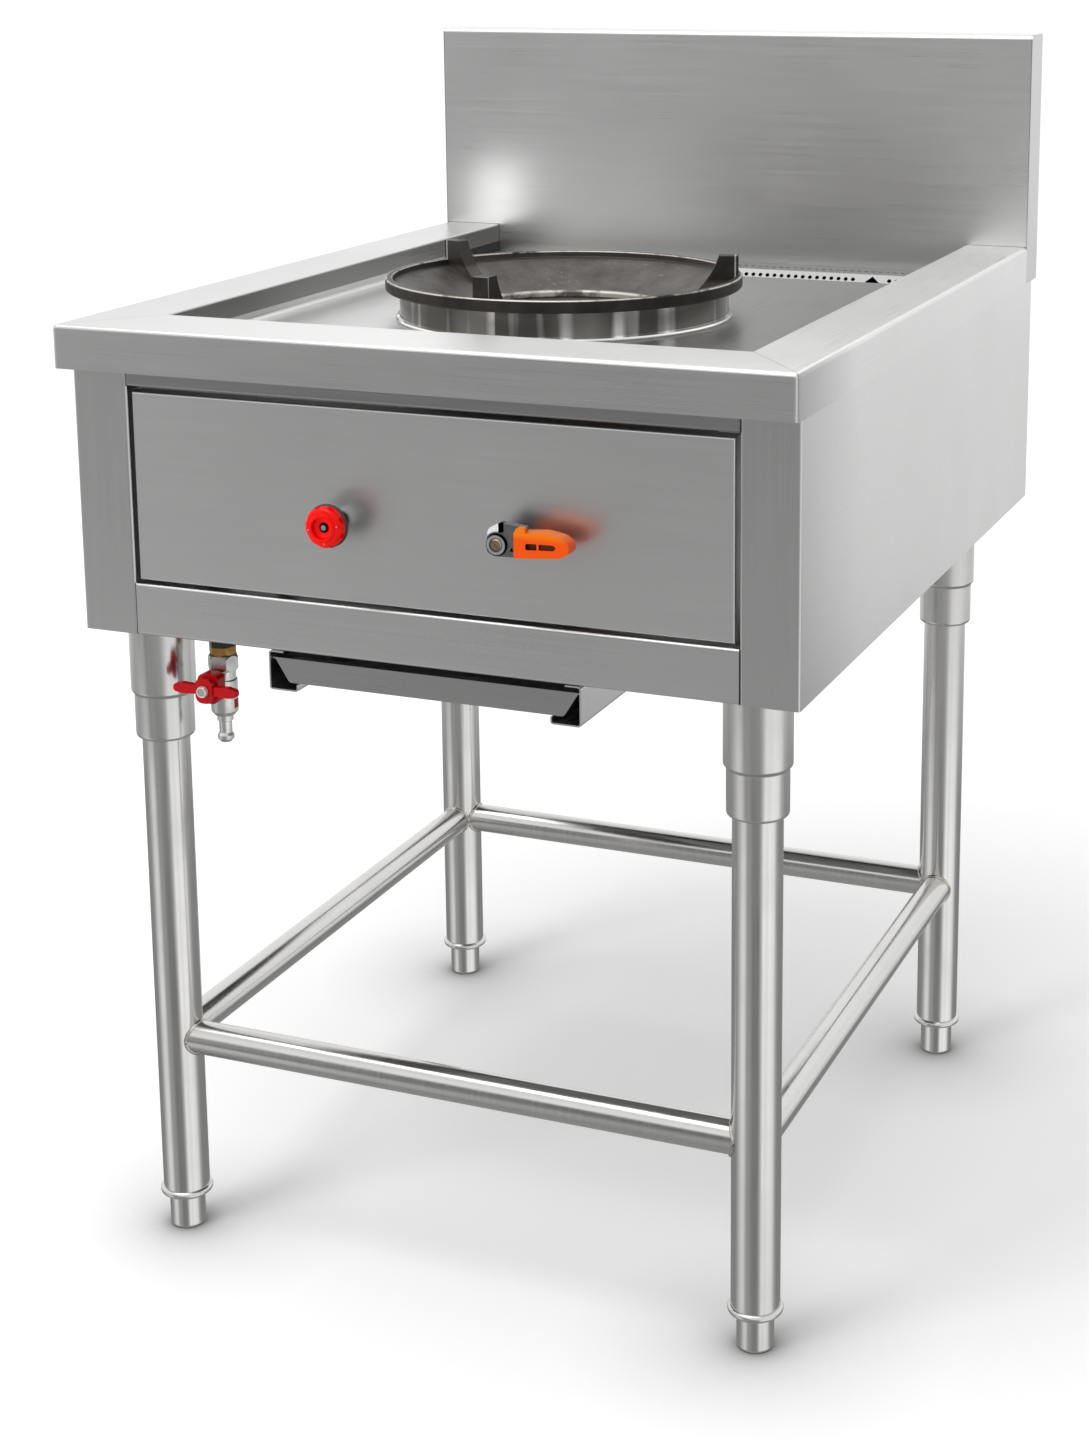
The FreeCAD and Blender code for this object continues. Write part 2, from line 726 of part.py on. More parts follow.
def burner_head():
    """The cast burner, hollow, with two rings of flame ports in its crown."""
    profile = [(17.0, 800.0, 0), (23.0, 800.0, 1.0), (26.0, 812.0, 2.0), (58.0, 824.0, 2.0),
               (58.0, 836.0, 2.0), (40.0, 844.0, 0), (0, 844.0, 0), (0, 838.0, 0), (36.0, 838.0, 0),
               (52.0, 831.0, 0), (52.0, 828.0, 0), (17.0, 815.0, 0)]
    head = spin(profile, burner_axis, V(0, 0, 1))
    ports = []
    for radius, count in ((20.0, 6), (48.0, 14)):
        for i in range(count):
            angle = math.radians(360.0 / count * i)
            place = burner_axis + V(radius * math.cos(angle), radius * math.sin(angle), 826.0)
            ports.append(hexagon_cutter(place, V(0, 0, 24)))
    return one_solid(head.cut(ports))


def burner_mixer():
    """The mixing tube: a bell mouth, an elbow, and the riser with its flange."""
    tube_radius = 20.0
    bore = 17.0
    axis_z = 700.0
    mouth_y = front + 245.0
    points = [V(burner_x, mouth_y + 25.0, axis_z), burner_axis + V(0, 0, axis_z),
              burner_axis + V(0, 0, 800.0)]
    tube = bent_pipe(points, 45.0, tube_radius, bore)
    bell = spin([(27.0, 0, 0), (30.0, 0, 1.0), (30.0, 4.0, 1.0), (tube_radius, 25.0, 0), (bore, 25.0, 0)],
                V(burner_x, mouth_y, axis_z), V(0, 1, 0))
    flange = pipe(32.0, bore + 1.0, burner_axis + V(0, 0, 760.0), burner_axis + V(0, 0, 765.0))
    return one_solid(tube.fuse([bell, flange]))


def gas_jet():
    """The brass nozzle that blows gas into the bell."""
    base = V(burner_x, front + 205.0, 700.0)
    profile = [(1.0, 10.0, 0), (7.0, 10.0, 0), (7.0, 22.0, 1.0), (4.0, 35.0, 0.8), (1.0, 35.0, 0)]
    nozzle = spin(profile, base, V(0, 1, 0))
    nut = prism_nut(17.0, base, base + V(0, 10.0, 0)).cut(rod(1.0, base, base + V(0, 10, 0)))
    return one_solid(nozzle.fuse(nut))


def burner_supply_tube():
    """The tube from the burner valve to the jet."""
    points = [V(burner_valve_x, front + 92.0, control_z), V(burner_valve_x, front + 128.0, control_z),
              V(burner_x, front + 172.0, 700.0), V(burner_x, front + 205.0, 700.0)]
    return bent_pipe(points, 16.0, 6.0, 4.8)


def pilot_tube():
    """The thin tube from the pilot valve to the pilot burner."""
    points = [V(pilot_x, front + 92.0, control_z), V(pilot_x, front + 330.0, control_z),
              V(pilot_x, front + 330.0, 812.0)]
    return bent_pipe(points, 18.0, 4.0, 3.0)


def pilot_burner():
    """The small burner that lights the main one."""
    base = V(pilot_x, front + 330.0, 812.0)
    profile = [(0, 0, 0), (7.0, 0, 0.6), (7.0, 8.0, 0.6), (5.0, 10.0, 0), (5.0, 20.0, 2.5), (0, 20.0, 0)]
    return spin(profile, base, V(0, 0, 1))


# ---------------------------------------------------------------- gas controls
def gas_manifold():
    """The gas pipe: up from the inlet valve, then across behind the front panel."""
    points = [V(inlet_x, gas_plane, 600.0), V(inlet_x, gas_plane, manifold_z),
              V(120.0, gas_plane, manifold_z)]
    pipe_run = bent_pipe(points, 30.0, pipe_radius, pipe_bore)
    taps = []
    for x in (pilot_x, burner_valve_x):
        taps.append(rod(4.5, V(x, gas_plane, manifold_z), V(x, gas_plane, manifold_z + 20)))
    return one_solid(pipe_run.cut(taps))


def manifold_plug():
    """The cap nut on the closed end of the gas pipe."""
    end = V(120.0, gas_plane, manifold_z)
    return prism_nut(24.0, end, end + V(12.0, 0, 0), 30.0)


def manifold_brackets():
    """Two upright plates, welded to the frame's front angle, that carry the gas pipe."""
    angle_face = body_front + fold + 3.5
    low = body_bottom + 15.0
    solids = []
    for x in (-150.0, 20.0):
        corners = [(angle_face, low, 0), (gas_plane, low, 0), (gas_plane + 17.0, manifold_z - 10.0, 6.0),
                   (gas_plane + 17.0, manifold_z + 16.0, 10.0), (gas_plane - 17.0, manifold_z + 16.0, 10.0),
                   (angle_face, manifold_z - 10.0, 0)]
        plate = extruded_x(corners, x - 2.0, x + 2.0)
        axis = V(x, gas_plane, manifold_z)
        solids.append(plate.cut(rod(pipe_radius, axis - V(3, 0, 0), axis + V(3, 0, 0))))
    return group(solids)


def gas_cock_body(x):
    """A gas cock's body: barrel, feed from the pipe below, and outlet at the rear."""
    axis = V(x, 0, control_z)
    bore = 8.0 + running_gap
    profile = [(bore, 32.0, 0), (13.0, 32.0, 1.0), (14.0, 38.0, 1.0), (14.0, 68.0, 1.5), (9.0, 74.0, 1.5),
               (9.0, 92.0, 0.5), (4.5, 92.0, 0), (4.5, 71.0, 0), (bore, 71.0, 0)]
    barrel = spin(profile, axis + V(0, front, 0), V(0, 1, 0))
    base = V(x, gas_plane, manifold_z)
    feed = rod(9.0, base, V(x, gas_plane, control_z - 10.0))
    feed = feed.cut([rod(pipe_radius, base - V(20, 0, 0), base + V(20, 0, 0)),
                     rod(bore, axis + V(0, front + 32.0, 0), axis + V(0, front + 71.0, 0))])
    way = rod(4.5, base, V(x, gas_plane, control_z))
    return one_solid(barrel.fuse(feed).cut(way))


def gas_cock_plug(x, tip_y, way_side):
    """The turning plug of a gas cock, with its L-shaped gas way and flatted stem, at rest closed."""
    axis = V(x, 0, control_z)
    profile = [(0, tip_y, 0), (stem_radius, tip_y, 0.6), (stem_radius, 34.0, 0),
               (8.0, 34.0, 0.5), (8.0, 70.0, 0), (0, 70.0, 0)]
    plug = spin(profile, axis + V(0, front, 0), V(0, 1, 0))
    middle = axis + V(0, gas_plane, 0)
    ways = [rod(4.0, middle, axis + V(0, front + 71.0, 0)),
            rod(4.0, middle, middle + V(9.0 * way_side, 0, 0))]
    flat = box(x - 6.0, front + tip_y - 1.0, control_z - 6.0, x - 2.4, front + tip_y + 14.0, control_z + 6.0)
    return one_solid(plug.cut(ways + [flat]))


def valve_gland_nuts():
    """The nuts behind the panel that close the two gas cocks round their stems."""
    solids = []
    for x in (pilot_x, burner_valve_x):
        start = V(x, panel_front + sheet, control_z)
        end = V(x, front + 32.0, control_z)
        nut = prism_nut(24.0, start, end)
        solids.append(nut.cut(rod(stem_radius + running_gap, start - V(0, 1, 0), end + V(0, 1, 0))))
    return group(solids)


def pilot_knob():
    """The lobed knob cap with its stepped, recessed face."""
    face = -knob_reach
    bore = stem_radius + running_gap
    profile = [(bore, knob_rear, 0), (bore, face + 5.0, 0), (8.8, face + 3.5, 0), (9.8, face, 0.4),
               (11.8, face, 0.4), (12.4, face + 1.5, 0.3), (15.5, face + 2.2, 1.5), (18.4, face + 5.0, 1.5),
               (18.4, knob_rear, 0)]
    cap = spin(profile, V(pilot_x, front, control_z), V(0, 1, 0))
    flutes = []
    lobes = 8
    for i in range(lobes):
        angle = math.radians(360.0 / lobes * (i + 0.5))
        offset = V(23.3 * math.cos(angle), 0, 23.3 * math.sin(angle))
        centre = V(pilot_x, front, control_z) + offset
        flutes.append(rod(6.6, centre + V(0, face - 1.0, 0), centre + V(0, knob_rear - 1.5, 0)))
    return one_solid(cap.cut(flutes))


def knob_skirt():
    """The dark skirt behind the knob cap."""
    bore = stem_radius + running_gap
    profile = [(bore, knob_rear, 0), (19.2, knob_rear, 0.6), (19.2, knob_rear + 5.0, 1.5),
               (10.0, knob_rear + 5.0, 0.5), (9.0, 16.0, 0.8), (bore, 16.0, 0)]
    return spin(profile, V(pilot_x, front, control_z), V(0, 1, 0))


def lever_corners(points):
    """Outline corners given from the lever's turning axis."""
    return [(burner_valve_x + x, control_z + z, radius) for x, z, radius in points]


def lever_tongue():
    """The flat tongue of the lever arm that the grip is pushed over."""
    return extruded_y(lever_corners([(16.0, -5.0, 0), (48.0, -3.0, 3.0), (48.0, 6.0, 3.0), (16.0, 7.5, 0)]),
                      front - 8.0, front - 4.0)


def burner_lever():
    """The die-cast lever arm: hub, raised cheek and tongue."""
    cheek = lever_corners([(-9.5, -7.0, 4.5), (-3.0, -10.4, 5.0), (17.5, -9.7, 0), (17.5, 13.0, 0),
                           (26.0, 13.0, 0.8), (25.2, 16.8, 1.2), (2.5, 18.8, 3.0), (-8.5, 13.0, 7.0)])
    arm = extruded_y(cheek, front - 9.0, front - 1.0)
    slit = extruded_y(lever_corners([(2.6, 11.0, 0), (6.6, 11.0, 0), (6.6, 20.0, 0), (2.6, 20.0, 0)]),
                      front - 10.0, front - 5.5)
    axis = V(burner_valve_x, front, control_z)
    hub_end = axis + V(0, 14.0, 0)
    hub = rod(8.9, axis - V(0, 11.5, 0), hub_end)
    lip = rod(10.6, axis - V(0, 5.0, 0), axis + V(0, 4.0, 0))
    window = extruded_y(lever_corners([(11.2, -5.0, 0), (15.8, -5.0, 0), (13.6, -1.0, 0)]),
                        front - 10.0, front)
    bore = rod(stem_radius + running_gap, axis - V(0, 7.0, 0), hub_end)
    recess = rod(6.0, axis - V(0, 12.0, 0), axis - V(0, 9.5, 0))
    arm = arm.fuse([hub, lip, lever_tongue()]).cut([window, slit, bore, recess])
    screw_hole = rod(2.5, axis - V(0, 12.0, 0), axis - V(0, 6.0, 0))
    return one_solid(arm.cut(screw_hole))


def lever_grip():
    """The moulded grip over the lever's tongue, with its two recesses."""
    corners = lever_corners([(17.5, -9.4, 2.0), (58.0, -6.0, 8.0), (66.5, -2.5, 6.0), (68.2, 5.5, 6.0),
                             (60.0, 11.4, 12.0), (45.0, 14.2, 20.0), (28.2, 12.9, 0), (17.5, 12.9, 0)])
    nub_corners = lever_corners([(17.5, 12.0, 0), (28.2, 12.0, 0), (27.6, 17.6, 1.5), (20.5, 17.4, 2.5)])
    face = front - 13.5
    grip = extruded_y(corners, face, front + 2.0).fuse(extruded_y(nub_corners, face, front - 9.2))
    slot = extruded_y(lever_corners([(28.0, -1.2, 1.0), (38.3, -0.8, 1.0), (38.3, 4.7, 1.0),
                                     (28.0, 4.3, 1.0)]), face - 0.5, face + 4.0)
    recess = extruded_y(lever_corners([(40.2, -0.5, 1.0), (53.2, 0.0, 1.0), (56.2, 2.7, 1.0),
                                       (53.2, 4.9, 1.0), (40.2, 4.6, 1.0)]), face - 0.5, face + 1.7)
    return one_solid(grip.cut([slot, recess, lever_tongue()]))


def lever_screw():
    """The screw that holds the lever on its stem."""
    head = [(0, 0, 0), (5.3, 0, 0), (5.3, -2.6, 0.9), (0, -2.6, 0)]
    screw = spin(head, V(burner_valve_x, front - 9.5, control_z), V(0, 1, 0))
    shank = rod(2.4, V(burner_valve_x, front - 9.5, control_z), V(burner_valve_x, front - 7.2, control_z))
    slot = box(burner_valve_x - 6.0, front - 12.5, control_z - 0.6,
               burner_valve_x + 6.0, front - 11.2, control_z + 0.6)
    slot.rotate(V(burner_valve_x, 0, control_z), V(0, 1, 0), 45)
    return one_solid(screw.fuse(shank).cut(slot))


# ---------------------------------------------------------------- inlet valve
def inlet_axis(z):
    """A point on the upright axis of the inlet valve."""
    return V(inlet_x, gas_plane, z)


def inlet_union_nut():
    """The brass nut on the end of the gas pipe."""
    nut = prism_nut(22.5, inlet_axis(590.5), inlet_axis(606.5), 12.0)
    socket = rod(pipe_radius, inlet_axis(600.0), inlet_axis(608.0))
    return nut.cut([socket, rod(7.0, inlet_axis(590.0), inlet_axis(601.0))])


def inlet_adapter():
    """The plated coupling between the union nut and the valve."""
    nut = prism_nut(25.4, inlet_axis(575.6), inlet_axis(590.5), 12.0)
    return nut.cut(rod(7.0, inlet_axis(575.0), inlet_axis(591.0)))


def inlet_valve_body():
    """The ball valve's body, round with a bevelled lower end, and its stem boss."""
    low = 532.7
    high = 575.6
    profile = [(ball_bore, low, 0), (9.5, low, 0), (12.6, low + 4.0, 0.8), (12.6, high - 9.0, 0.6),
               (11.6, high - 8.0, 0), (11.6, high, 0), (ball_bore, high, 0)]
    body = spin(profile, inlet_axis(0), V(0, 0, 1))
    middle = inlet_axis(ball_z)
    boss = rod(7.5, middle, middle - V(0, 15.0, 0)).cut(rod(ball_bore, inlet_axis(low), inlet_axis(high)))
    body = body.fuse(boss)
    chamber = Part.makeSphere(ball_radius + 0.3, middle)
    stem_way = rod(4.0 + running_gap, middle, middle - V(0, 20.0, 0))
    return one_solid(body.cut([chamber, stem_way]))


def inlet_valve_ball():
    """The ball, bored through, with the slot that the stem turns it by. It rests closed."""
    middle = inlet_axis(ball_z)
    ball = Part.makeSphere(ball_radius)
    ball.rotate(V(0, 0, 0), V(0, 1, 0), 90)
    ball.translate(middle)
    bore = rod(ball_bore - 0.5, middle - V(12, 0, 0), middle + V(12, 0, 0))
    slot = box(inlet_x - 12, gas_plane - 12, ball_z - 1.6, inlet_x + 12, gas_plane - 6.5, ball_z + 1.6)
    return one_solid(ball.cut([bore, slot]))


def inlet_valve_stem():
    """The stem, with the tongue that sits in the ball's slot."""
    middle = inlet_axis(ball_z)
    shaft = rod(4.0, middle - V(0, 9.4, 0), middle - V(0, 39.0, 0))
    tongue = box(inlet_x - 3.6, gas_plane - 9.4, ball_z - 1.5, inlet_x + 3.6, gas_plane - 6.6, ball_z + 1.5)
    return one_solid(shaft.fuse(tongue))


def handle_hub_step(half_x, half_z, y0, y1):
    """One step of the handle's hub, an upright rounded block between two distances from the valve."""
    corners = [(inlet_x - half_x, ball_z - half_z, 7.0), (inlet_x + half_x, ball_z - half_z, 7.0),
               (inlet_x + half_x, ball_z + half_z, 7.0), (inlet_x - half_x, ball_z + half_z, 7.0)]
    return extruded_y(corners, gas_plane - y1, gas_plane - y0)


def inlet_handle():
    """The butterfly handle: an upright hub, narrower at its face, with two bulging wings."""
    bore = 4.0 + running_gap
    hub = handle_hub_step(10.8, 14.1, 15.5, 28.0).fuse(handle_hub_step(8.8, 11.8, 28.0, 35.5))
    wing_corners = [(6.0, -3.8, 0), (24.0, -4.8, 8.0), (33.0, -3.2, 3.1),
                    (33.0, 3.2, 3.1), (24.0, 5.2, 8.0), (6.0, 4.2, 0)]
    wings = []
    for side in (1.0, -1.0):
        corners = [(inlet_x + side * x, ball_z + z, radius) for x, z, radius in wing_corners]
        wings.append(extruded_y(corners, gas_plane - 34.0, gas_plane - 28.0))
    handle = hub.fuse(wings)
    return one_solid(handle.cut(rod(bore, inlet_axis(ball_z), inlet_axis(ball_z) - V(0, 40, 0))))


def inlet_handle_nut():
    """The nut that holds the butterfly handle."""
    start = inlet_axis(ball_z) - V(0, 35.5, 0)
    nut = prism_nut(9.5, start, start - V(0, 4.5, 0))
    return nut.cut(rod(4.0, start, start - V(0, 5, 0)))


def hose_barb():
    """The hose tail: shoulder, neck and one rounded bead."""
    profile = [(4.0, 506.3, 0), (4.8, 506.3, 0.5), (7.7, 509.5, 0), (7.7, 513.0, 0), (6.0, 515.6, 0.3),
               (6.0, 526.9, 0.3), (7.5, 526.9, 0.5), (7.5, 532.7, 0), (4.0, 532.7, 0)]
    return spin(profile, inlet_axis(0), V(0, 0, 1))


# ---------------------------------------------------------------- drip tray
def drip_tray():
    """The tray: sloping sides with rounded corners, side lips and end walls."""
    tray_sheet = 1.2
    tray_front = front + 28.0
    tray_rear = tray_front + tray_length
    half_lip = tray_half_top + 2.5
    left_top = tray_x - tray_half_top
    right_top = tray_x + tray_half_top
    left_bottom = tray_x - tray_half_bottom
    right_bottom = tray_x + tray_half_bottom
    path = [(tray_x - half_lip, tray_top), (left_top, tray_top), (left_bottom, tray_bottom),
            (right_bottom, tray_bottom), (right_top, tray_top), (tray_x + half_lip, tray_top)]
    corner_bend = 2.5
    trough = extruded_y(folded(path, tray_sheet, corner_bend), tray_front, tray_rear)
    corner = corner_bend + tray_sheet
    end_shape = [(left_top, tray_top, 0), (left_bottom, tray_bottom, corner),
                 (right_bottom, tray_bottom, corner), (right_top, tray_top, 0)]
    front_end = extruded_y(end_shape, tray_front, tray_front + tray_sheet)
    rear_end = extruded_y(end_shape, tray_rear - tray_sheet, tray_rear)
    hem = box(left_top, tray_front, tray_top - 0.5, right_top, tray_front + 8.0, tray_top + tray_sheet)
    return one_solid(trough.fuse([front_end, rear_end, hem]))


def tray_runners():
    """The two folded channels that the tray slides on. A small upturned lip carries it."""
    runners = []
    lip_top = tray_bottom - 0.3
    for side in (-1.0, 1.0):
        outer = tray_x + side * runner_half
        inner = outer - side * 29.0
        path = [(inner, lip_top), (inner, runner_bottom), (outer, runner_bottom),
                (outer, runner_top), (outer - side * 15.0, runner_top)]
        if side < 0:
            path = path[::-1]
        runners.append(extruded_y(folded(path, sheet, 1.5), front + 24.0, front + 610.0))
    return group(runners)


# ---------------------------------------------------------------- all sub-parts
def build():
    """Every sub-part of the range, by name."""
    parts = {
        "worktop_rim": worktop_rim(),
        "well_floor": well_floor(),
        "drain_gutter": drain_gutter(),
        "drain_outlet": drain_outlet(),
        "strainer": strainer(),
        "splashback": splashback(),
        "splashback_back": splashback_back(),
        "left_side_panel": left_side_panel(),
        "right_side_panel": right_side_panel(),
        "rear_panel": rear_panel(),
        "top_rail": top_rail(),
        "bottom_rail": bottom_rail(),
        "front_panel": front_panel(),
        "under_frame": under_frame(),
        "leg_plates": leg_plates(),
        "tray_crossbars": tray_crossbars(),
        "foot_collars": foot_collars(),
        "burner_collar": burner_collar(),
        "wok_ring": wok_ring(),
        "burner_chamber": burner_chamber(),
        "burner_bracket": burner_bracket(),
        "burner_head": burner_head(),
        "burner_mixer": burner_mixer(),
        "gas_jet": gas_jet(),
        "burner_supply_tube": burner_supply_tube(),
        "pilot_tube": pilot_tube(),
        "pilot_burner": pilot_burner(),
        "gas_manifold": gas_manifold(),
        "manifold_plug": manifold_plug(),
        "manifold_brackets": manifold_brackets(),
        "burner_valve_body": gas_cock_body(burner_valve_x),
        "burner_valve_plug": gas_cock_plug(burner_valve_x, -7.0, 1.0),
        "pilot_valve_body": gas_cock_body(pilot_x),
        "pilot_valve_plug": gas_cock_plug(pilot_x, -10.0, -1.0),
        "valve_gland_nuts": valve_gland_nuts(),
        "pilot_knob": pilot_knob(),
        "knob_skirt": knob_skirt(),
        "burner_lever": burner_lever(),
        "lever_grip": lever_grip(),
        "lever_screw": lever_screw(),
        "inlet_union_nut": inlet_union_nut(),
        "inlet_adapter": inlet_adapter(),
        "inlet_valve_body": inlet_valve_body(),
        "inlet_valve_ball": inlet_valve_ball(),
        "inlet_valve_stem": inlet_valve_stem(),
        "inlet_handle": inlet_handle(),
        "inlet_handle_nut": inlet_handle_nut(),
        "hose_barb": hose_barb(),
        "drip_tray": drip_tray(),
        "tray_runners": tray_runners(),
        "leg_sleeves": leg_sleeves(),
        "leg_braces": leg_braces(),
    }
    for name, place in leg_places.items():
        parts["leg_" + name] = leg(place)
        parts["foot_" + name] = foot(place)
    return parts


for name, shape in build().items():
    shape.exportStep("parts/%s.step" % name)
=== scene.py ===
import math

import bmesh
import bpy
from mathutils import Matrix, Vector


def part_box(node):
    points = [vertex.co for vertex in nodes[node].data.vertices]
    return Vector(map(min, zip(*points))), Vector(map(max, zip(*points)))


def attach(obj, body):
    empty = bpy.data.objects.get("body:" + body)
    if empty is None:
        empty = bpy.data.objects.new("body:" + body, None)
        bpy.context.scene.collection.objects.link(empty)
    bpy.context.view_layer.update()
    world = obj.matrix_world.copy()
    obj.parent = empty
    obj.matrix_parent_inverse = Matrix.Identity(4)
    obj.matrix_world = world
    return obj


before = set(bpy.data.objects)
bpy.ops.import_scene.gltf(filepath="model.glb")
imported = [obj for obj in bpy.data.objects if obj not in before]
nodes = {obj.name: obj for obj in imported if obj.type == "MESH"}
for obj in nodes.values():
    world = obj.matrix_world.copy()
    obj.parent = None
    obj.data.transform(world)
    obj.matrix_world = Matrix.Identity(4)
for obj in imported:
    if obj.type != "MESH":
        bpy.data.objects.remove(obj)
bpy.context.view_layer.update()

# Single-burner wok range: finishes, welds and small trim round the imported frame, in metres.

root = "stand_and_body"


# ---------------------------------------------------------------- places from the frame
def middle_of(name):
    """The middle of a node's box."""
    box_low, box_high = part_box(name)
    return (box_low + box_high) / 2.0


rim_low, rim_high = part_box("worktop_rim")
splash_low, splash_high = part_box("splashback")
floor_low, floor_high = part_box("well_floor")
top_rail_low, top_rail_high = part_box("top_rail")
bottom_rail_low, bottom_rail_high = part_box("bottom_rail")
ring_low, ring_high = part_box("wok_ring")
brace_low, brace_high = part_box("leg_braces")
valve_low, valve_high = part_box("inlet_valve_body")
ring_middle = middle_of("wok_ring")
knob_middle = middle_of("pilot_knob")
screw_middle = middle_of("lever_screw")
nut_middle = middle_of("inlet_union_nut")
valve_middle = middle_of("inlet_valve_body")
collar_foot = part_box("burner_collar")[0].z
grip_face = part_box("lever_grip")[0].y
knob_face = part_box("pilot_knob")[0].y
front = rim_low.y
top = rim_high.z
body_front = top_rail_low.y
sheet = 0.0015


# ---------------------------------------------------------------- camera
def make_camera():
    """The photograph's viewpoint: a long lens from the front right, above the worktop."""
    image_width = 1089.0
    image_height = 1444.0
    focal_px = 2425.995
    centre_px = (646.67, 423.69)
    yaw = math.radians(21.593)
    pitch = math.radians(11.712)
    roll = math.radians(-0.260)
    place = Vector((0.92983, front - 1.79151, 1.24992))
    ahead = Vector((-math.sin(yaw) * math.cos(pitch), math.cos(yaw) * math.cos(pitch), -math.sin(pitch)))
    right = Vector((math.cos(yaw), math.sin(yaw), 0.0))
    up = right.cross(ahead)
    turned_right = right * math.cos(roll) + up * math.sin(roll)
    turned_up = up * math.cos(roll) - right * math.sin(roll)
    data = bpy.data.cameras.new("camera")
    data.sensor_fit = "HORIZONTAL"
    data.sensor_width = 36.0
    data.lens = focal_px / image_width * data.sensor_width
    data.shift_x = (image_width / 2.0 - centre_px[0]) / image_width
    data.shift_y = (centre_px[1] - image_height / 2.0) / image_width
    data.clip_end = 100.0
    camera = bpy.data.objects.new("camera", data)
    bpy.context.scene.collection.objects.link(camera)
    camera.matrix_world = Matrix.Translation(place) @ Matrix((
        (turned_right.x, turned_up.x, -ahead.x, 0.0),
        (turned_right.y, turned_up.y, -ahead.y, 0.0),
        (turned_right.z, turned_up.z, -ahead.z, 0.0),
        (0.0, 0.0, 0.0, 1.0)))
    bpy.context.scene.camera = camera


# ---------------------------------------------------------------- node helpers
class Nodes:
    """Short ways to add nodes to one node tree."""

    def __init__(self, tree):
        self.tree = tree

    def add(self, kind, **settings):
        node = self.tree.nodes.new(kind)
        for key, value in settings.items():
            setattr(node, key, value)
        return node

    def join(self, output, socket):
        self.tree.links.new(output, socket)

    def feed(self, value, socket):
        """Link an output to a socket, or write a number or a colour on it."""
        if isinstance(value, bpy.types.NodeSocket):
            self.join(value, socket)
        elif isinstance(value, tuple):
            socket.default_value = (*value, 1.0)
        else:
            socket.default_value = value

    def math(self, operation, first, second=0.0):
        node = self.add("ShaderNodeMath", operation=operation)
        self.feed(first, node.inputs[0])
        self.feed(second, node.inputs[1])
        return node.outputs[0]

    def both(self, first, second):
        """One value times another, so a mask where both masks hold."""
        return self.math("MULTIPLY", first, second)

    def split(self, vector, axis):
        """One part of a vector: X, Y or Z."""
        node = self.add("ShaderNodeSeparateXYZ")
        self.join(vector, node.inputs[0])
        return node.outputs[axis]

    def ramp(self, value, low, high, out_low=0.0, out_high=1.0):
        """From out_low at low to out_high at high, and level beyond them."""
        node = self.add("ShaderNodeMapRange", clamp=True)
        self.join(value, node.inputs["Value"])
        node.inputs["From Min"].default_value = low
        node.inputs["From Max"].default_value = high
        node.inputs["To Min"].default_value = out_low
        node.inputs["To Max"].default_value = out_high
        return node.outputs["Result"]

    def near(self, value, middle, inner, outer):
        """1 within inner of the middle, and 0 beyond outer."""
        away = self.math("ABSOLUTE", self.math("SUBTRACT", value, middle))
        return self.ramp(away, inner, outer, 1.0, 0.0)

    def radius(self, first, second):
        """Distance from an axis, from the two offsets across it."""
        squares = self.math("ADD", self.both(first, first), self.both(second, second))
        return self.math("SQRT", squares)

    def blend(self, factor, first, second):
        """A mix of two colours."""
        node = self.add("ShaderNodeMix", data_type="RGBA", blend_type="MIX")
        self.feed(factor, node.inputs[0])
        self.feed(first, node.inputs[6])
        self.feed(second, node.inputs[7])
        return node.outputs[2]

    def blend_value(self, factor, first, second):
        """A mix of two numbers."""
        node = self.add("ShaderNodeMix", data_type="FLOAT")
        self.feed(factor, node.inputs[0])
        self.feed(first, node.inputs[2])
        self.feed(second, node.inputs[3])
        return node.outputs[0]

    def toned(self, color, tone):
        """A colour times a lightness."""
        node = self.add("ShaderNodeVectorMath", operation="SCALE")
        self.join(color, node.inputs[0])
        self.feed(tone, node.inputs["Scale"])
        return node.outputs[0]


class Shader(Nodes):
    """One material with a Principled shader, patterned in the object's own coordinates."""

    def __init__(self, name, color, roughness, metallic=0.0):
        self.material = bpy.data.materials.new(name)
        self.material.use_nodes = True
        super().__init__(self.material.node_tree)
        self.sockets = self.tree.nodes["Principled BSDF"].inputs
        self.set("Base Color", color)
        self.set("Roughness", roughness)
        self.set("Metallic", metallic)
        self.place = self.add("ShaderNodeTexCoord").outputs["Object"]

    def set(self, socket, value):
        self.feed(value, self.sockets[socket])

    def axis(self, name):
        """The object's own X, Y or Z."""
        return self.split(self.place, name)

    def offset(self, axis, middle):
        """How far along an axis a point lies from a value."""
        return self.math("SUBTRACT", self.axis(axis), middle)

    def noise(self, scale, detail=2.0, roughness=0.5, distortion=0.0, stretch=None, vector=None):
        """A noise in the object's coordinates, or in others, drawn out along an axis if asked."""
        where = vector or self.place
        if stretch is not None:
            mapping = self.add("ShaderNodeMapping")
            self.join(where, mapping.inputs["Vector"])
            mapping.inputs["Scale"].default_value = stretch
            where = mapping.outputs[0]
        node = self.add("ShaderNodeTexNoise")
        self.join(where, node.inputs["Vector"])
        node.inputs["Scale"].default_value = scale
        node.inputs["Detail"].default_value = detail
        node.inputs["Roughness"].default_value = roughness
        node.inputs["Distortion"].default_value = distortion
        return node.outputs["Fac"]

    def bump(self, height, strength, distance):
        node = self.add("ShaderNodeBump")
        self.join(height, node.inputs["Height"])
        node.inputs["Strength"].default_value = strength
        node.inputs["Distance"].default_value = distance
        self.set("Normal", node.outputs["Normal"])


def scaled(color, factor):
    """A colour made lighter or darker."""
    return tuple(min(channel * factor, 1.0) for channel in color)


# ---------------------------------------------------------------- sheet steel
steel_color = (0.68, 0.68, 0.675)
sheet_roughness = 0.30


